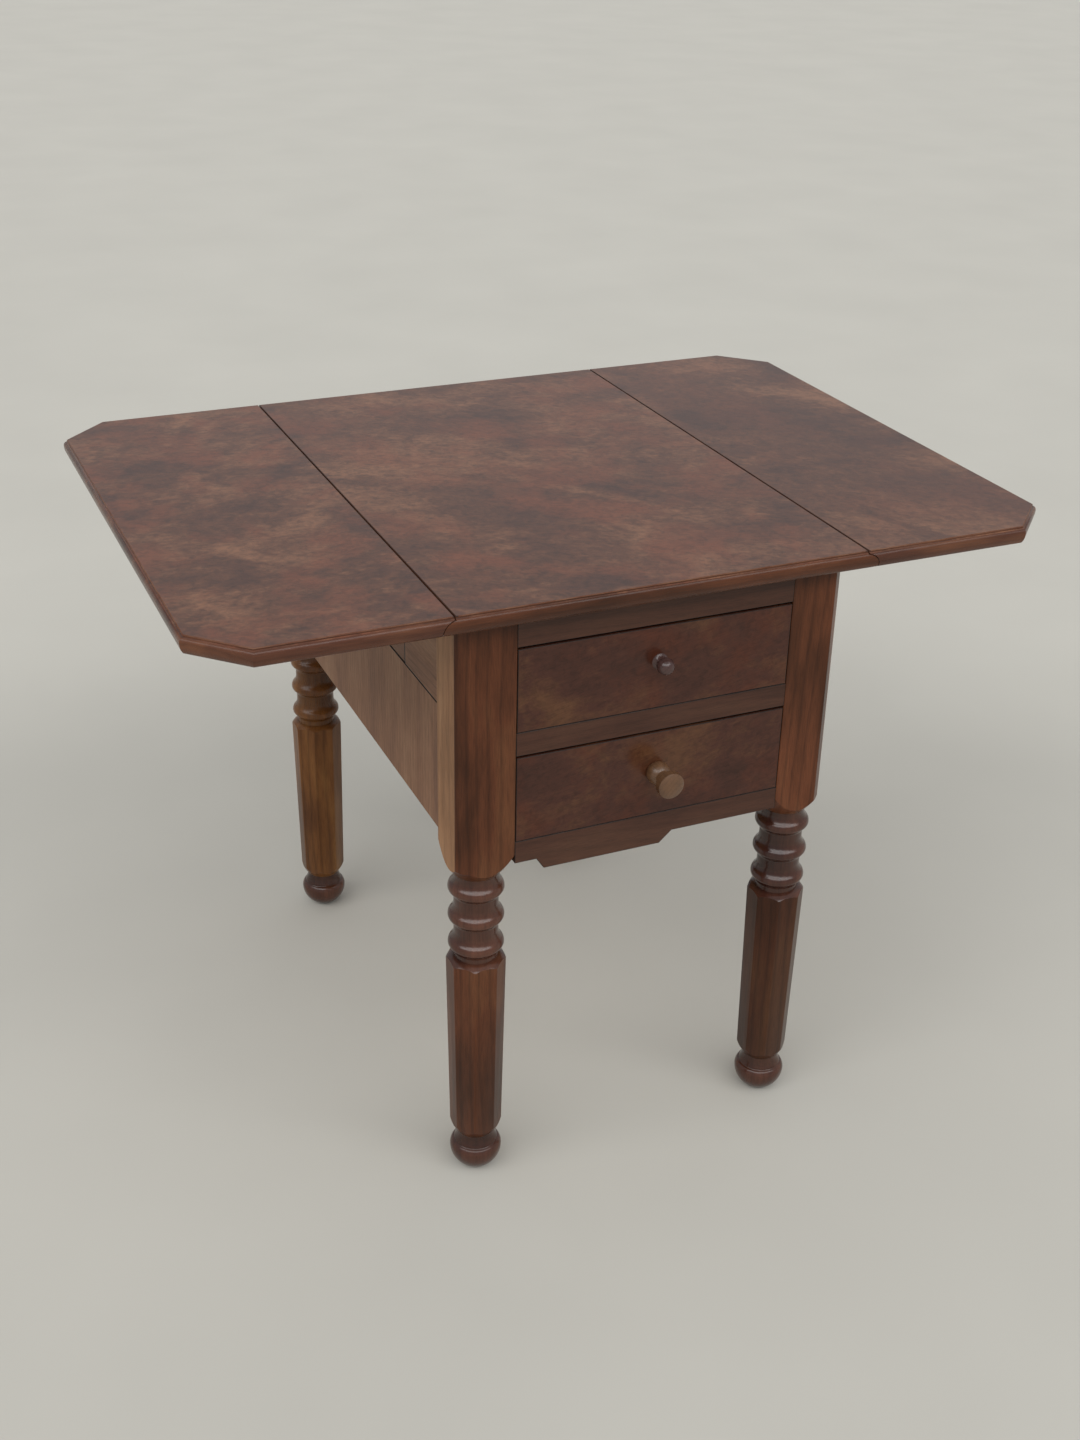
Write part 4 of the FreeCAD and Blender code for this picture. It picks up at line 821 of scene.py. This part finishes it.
def screw_tree():
    """Nodes that drive a slotted wood screw upwards at each vertex, its slot left as the driver left it."""
    tree = bpy.data.node_groups.new("slotted_wood_screws", "GeometryNodeTree")
    inputs = [("Places", "NodeSocketGeometry")]
    sizes = ("Head", "Head Depth", "Shank", "Length", "Slot", "Slot Depth")
    inputs += [(name, "NodeSocketFloat") for name in sizes]
    inputs += [("Seed", "NodeSocketInt"), ("Metal", "NodeSocketMaterial")]
    for name, kind in inputs:
        tree.interface.new_socket(name, in_out="INPUT", socket_type=kind)
    tree.interface.new_socket("Screws", in_out="OUTPUT", socket_type="NodeSocketGeometry")
    given = add(tree, "NodeGroupInput", {}).outputs
    head = add(
        tree,
        "GeometryNodeMeshCone",
        {
            "Vertices": 28,
            "Radius Bottom": given["Head"],
            "Radius Top": given["Shank"],
            "Depth": given["Head Depth"],
        },
    )
    # The saw that cuts the slot goes past both sides of the head, and half of it stands off the head's face
    across = add(tree, "ShaderNodeMath", {0: given["Head"], 1: 2.4}, operation="MULTIPLY").outputs[0]
    through = add(tree, "ShaderNodeMath", {0: given["Slot Depth"], 1: 2.0}, operation="MULTIPLY").outputs[0]
    blade = add(tree, "ShaderNodeCombineXYZ", {"X": across, "Y": given["Slot"], "Z": through})
    slot = add(tree, "GeometryNodeMeshCube", {"Size": blade.outputs[0]})
    slotted = add(
        tree,
        "GeometryNodeMeshBoolean",
        {"Mesh 1": head.outputs["Mesh"], "Mesh 2": slot.outputs["Mesh"]},
        operation="DIFFERENCE",
    )
    # The shank narrows to a blunt point
    below = add(tree, "ShaderNodeMath", {0: given["Length"], 1: given["Head Depth"]}, operation="SUBTRACT")
    point = add(tree, "ShaderNodeMath", {0: given["Shank"], 1: 0.3}, operation="MULTIPLY")
    shank = add(
        tree,
        "GeometryNodeMeshCone",
        {
            "Vertices": 16,
            "Radius Bottom": given["Shank"],
            "Radius Top": point.outputs[0],
            "Depth": below.outputs[0],
        },
    )
    lift = add(tree, "ShaderNodeCombineXYZ", {"Z": given["Head Depth"]})
    lifted = add(
        tree, "GeometryNodeTransform", {"Geometry": shank.outputs["Mesh"], "Translation": lift.outputs[0]}
    )
    screw = add(tree, "GeometryNodeJoinGeometry", {})
    for part in (slotted.outputs["Mesh"], lifted.outputs["Geometry"]):
        tree.links.new(part, screw.inputs["Geometry"])
    turn = add(
        tree,
        "FunctionNodeRandomValue",
        {"Min": (0, 0, 0), "Max": (0, 0, math.pi), "Seed": given["Seed"]},
        data_type="FLOAT_VECTOR",
    )
    turned = add(tree, "FunctionNodeEulerToRotation", {"Euler": turn.outputs[0]})
    driven = add(
        tree,
        "GeometryNodeInstanceOnPoints",
        {
            "Points": given["Places"],
            "Instance": screw.outputs["Geometry"],
            "Rotation": turned.outputs["Rotation"],
        },
    )
    real = add(tree, "GeometryNodeRealizeInstances", {"Geometry": driven.outputs["Instances"]})
    shown = add(
        tree, "GeometryNodeSetMaterial", {"Geometry": real.outputs["Geometry"], "Material": given["Metal"]}
    )
    add(tree, "NodeGroupOutput", {"Screws": shown.outputs["Geometry"]})
    return tree


def screw_places(node):
    """The middle of each screw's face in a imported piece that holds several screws, always in the same order."""
    shape = loose_copy(node)
    waiting = set(shape.verts)
    places = []
    while waiting:
        reached = [waiting.pop()]
        for vertex in reached:
            for edge in vertex.link_edges:
                other = edge.other_vert(vertex)
                if other in waiting:
                    waiting.remove(other)
                    reached.append(other)
        spans = [[vertex.co[axis] for vertex in reached] for axis in range(3)]
        x, y = ((min(span) + max(span)) / 2 for span in spans[:2])
        places.append((x, y, min(spans[2])))
    shape.free()
    return sorted(places)


def drive_screws(node, tree, sizes, steel, seed):
    """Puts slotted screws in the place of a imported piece's plain ones."""
    points = bpy.data.meshes.new(f"{node}_places")
    points.from_pydata(screw_places(node), [], [])
    maker = bpy.data.objects.new(f"{node}_maker", points)
    bpy.context.scene.collection.objects.link(maker)
    modifier = maker.modifiers.new("screws", "NODES")
    modifier.node_group = tree
    values = {
        "Head": sizes.screw_head,
        "Head Depth": sizes.screw_head_depth,
        "Shank": sizes.screw_shank,
        "Length": sizes.screw_length,
        "Slot": sizes.slot_width,
        "Slot Depth": sizes.slot_depth,
        "Seed": seed,
        "Metal": steel,
    }
    for item in tree.interface.items_tree:
        if item.name in values:
            modifier[item.identifier] = values[item.name]
    seen = bpy.context.evaluated_depsgraph_get()
    made = maker.evaluated_get(seen)
    mesh = bpy.data.meshes.new_from_object(made, preserve_all_data_layers=True, depsgraph=seen)
    bpy.data.objects.remove(maker)
    if not mesh.polygons:
        raise RuntimeError(f"no screws were made for {node}")
    mesh.name = f"{node}_slotted"
    piece = bpy.data.objects.new(mesh.name, mesh)
    bpy.context.scene.collection.objects.link(piece)
    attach(piece, frame["nodes"][node]["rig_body"])
    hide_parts(node)


class TABLE_OT_finish_hinges(bpy.types.Operator):
    """Blackens the hinges and drives their slotted screws"""

    bl_idname = "table.finish_hinges"
    bl_label = "Finish hinges"

    def execute(self, context):
        tones, sizes = context.scene.table_tones, context.scene.table_sizes
        iron = metal("blackened_iron", tones.iron, 0.45, 1.2, 0.55)
        steel = metal("worn_steel", tones.steel, 0.3, 0.8, 0.6)
        for side in SIDES:
            for node in ("hinge_top_plates", "hinge_leaf_plates", "hinge_pins", "bracket_pin"):
                paint(f"{node}_{side}", iron)
        tree = screw_tree()
        nodes = ("hinge_top_screws", "hinge_leaf_screws_left", "hinge_leaf_screws_right")
        for seed, node in enumerate(nodes):
            drive_screws(node, tree, sizes, steel, seed)
        return {"FINISHED"}


class TABLE_OT_set_stage(bpy.types.Operator):
    """Lays a plain pale floor, lights it softly and sets the camera"""

    bl_idname = "table.set_stage"
    bl_label = "Set stage"

    def execute(self, context):
        scene = context.scene
        settings = scene.table_stage
        scene.view_settings.view_transform = "Standard"
        self.lay_floor(scene)
        self.light(scene, settings)
        camera = bpy.data.objects.new("camera", bpy.data.cameras.new("camera"))
        camera.data.lens = settings.lens
        camera.data.clip_end = 100
        turn = (
            Matrix.Rotation(settings.camera_azimuth, 4, "Z")
            @ Matrix.Rotation(math.pi / 2 - settings.camera_drop, 4, "X")
            @ Matrix.Rotation(settings.camera_roll, 4, "Z")
        )
        camera.matrix_world = Matrix.Translation(settings.camera_place) @ turn
        scene.collection.objects.link(camera)
        scene.camera = camera
        return {"FINISHED"}

    def lay_floor(self, scene):
        """A pale floor, matt like painted board, that runs past the camera's view."""
        shape = bmesh.new()
        bmesh.ops.create_grid(shape, x_segments=4, y_segments=4, size=FLOOR_REACH)
        mesh = bpy.data.meshes.new("floor")
        shape.to_mesh(mesh)
        shape.free()
        material, tree, shader = new_material("matt_painted_board", {"Roughness": 0.85})
        place = grained(tree, "x")
        mottle = noise(tree, place, 1, 400, detail=3.0)
        stops = [(0.3, grey(0.95)), (0.7, grey(1.0))]
        shade = add(tree, "ShaderNodeValToRGB", {"Fac": mottle.outputs["Fac"]}, stops).outputs["Color"]
        colour = darkened(tree, scene.table_tones.floor, shade)
        tree.links.new(colour, shader.inputs["Base Color"])
        mesh.materials.append(material)
        floor = bpy.data.objects.new("floor", mesh)
        scene.collection.objects.link(floor)

    def light(self, scene, settings):
        """A clouded sky, and an arc of lamps on the camera's side that draws lines of light on turned work."""
        world = bpy.data.worlds.new("clouded_sky")
        world.use_nodes = True
        tree = world.node_tree
        sky = tree.nodes["Background"]
        sky.inputs["Color"].default_value = linear("#f4f6f8")
        # The sky is a quarter dimmer at the horizon than overhead
        ways = add(tree, "ShaderNodeTexCoord", {}).outputs["Generated"]
        height = add(tree, "ShaderNodeSeparateXYZ", {"Vector": ways}).outputs["Z"]
        inputs = {"Value": height, "To Min": settings.sky * 0.75, "To Max": settings.sky}
        bright = add(tree, "ShaderNodeMapRange", inputs)
        tree.links.new(bright.outputs["Result"], sky.inputs["Strength"])
        scene.world = world
        front = math.atan2(settings.camera_place[1], settings.camera_place[0])
        level, rise = math.cos(settings.lamp_height), math.sin(settings.lamp_height)
        for number, turn in enumerate(LAMP_BEARINGS):
            lamp = bpy.data.lights.new(f"lamp_{number}", "SUN")
            lamp.angle = settings.lamp_width
            lamp.energy = settings.lamp
            bearing = front + math.radians(turn)
            way = Vector((math.cos(bearing) * level, math.sin(bearing) * level, rise))
            place = LAMP_DISTANCE * way
            holder = bpy.data.objects.new(lamp.name, lamp)
            facing = (-place).to_track_quat("-Z", "Y").to_matrix().to_4x4()
            holder.matrix_world = Matrix.Translation(place) @ facing
            scene.collection.objects.link(holder)


OPERATORS = (
    TABLE_OT_finish_top,
    TABLE_OT_finish_case,
    TABLE_OT_finish_legs,
    TABLE_OT_finish_drawers,
    TABLE_OT_finish_knobs,
    TABLE_OT_finish_hinges,
    TABLE_OT_set_stage,
)


class TABLE_PT_finish(bpy.types.Panel):
    """Lists the steps that finish the table, with its colours and sizes"""

    bl_idname = "TABLE_PT_finish"
    bl_label = "Drop-leaf table"
    bl_space_type = "VIEW_3D"
    bl_region_type = "UI"
    bl_category = "Table"

    def draw(self, context):
        for operator in OPERATORS:
            self.layout.operator(operator.bl_idname)
        for group in (context.scene.table_tones, context.scene.table_sizes, context.scene.table_stage):
            box = self.layout.box()
            for name in group.bl_rna.properties.keys():
                if name not in ("rna_type", "name"):
                    box.prop(group, name)


GROUPS = {"table_tones": TableTones, "table_sizes": TableSizes, "table_stage": StageSettings}
CLASSES = (*GROUPS.values(), *OPERATORS, TABLE_PT_finish)


def register():
    """Makes the classes known and hangs the settings on the scene."""
    for kind in CLASSES:
        bpy.utils.register_class(kind)
    for name, kind in GROUPS.items():
        setattr(bpy.types.Scene, name, bpy.props.PointerProperty(type=kind))


def unregister():
    """Takes the settings and the classes away again."""
    for name in GROUPS:
        delattr(bpy.types.Scene, name)
    for kind in reversed(CLASSES):
        bpy.utils.unregister_class(kind)


def main():
    """Finishes the table piece by piece and sets the stage."""
    register()
    bpy.ops.table.finish_top()
    bpy.ops.table.finish_case()
    bpy.ops.table.finish_legs()
    bpy.ops.table.finish_drawers()
    bpy.ops.table.finish_knobs()
    bpy.ops.table.finish_hinges()
    bpy.ops.table.set_stage()


if __name__ == "__main__":
    main()
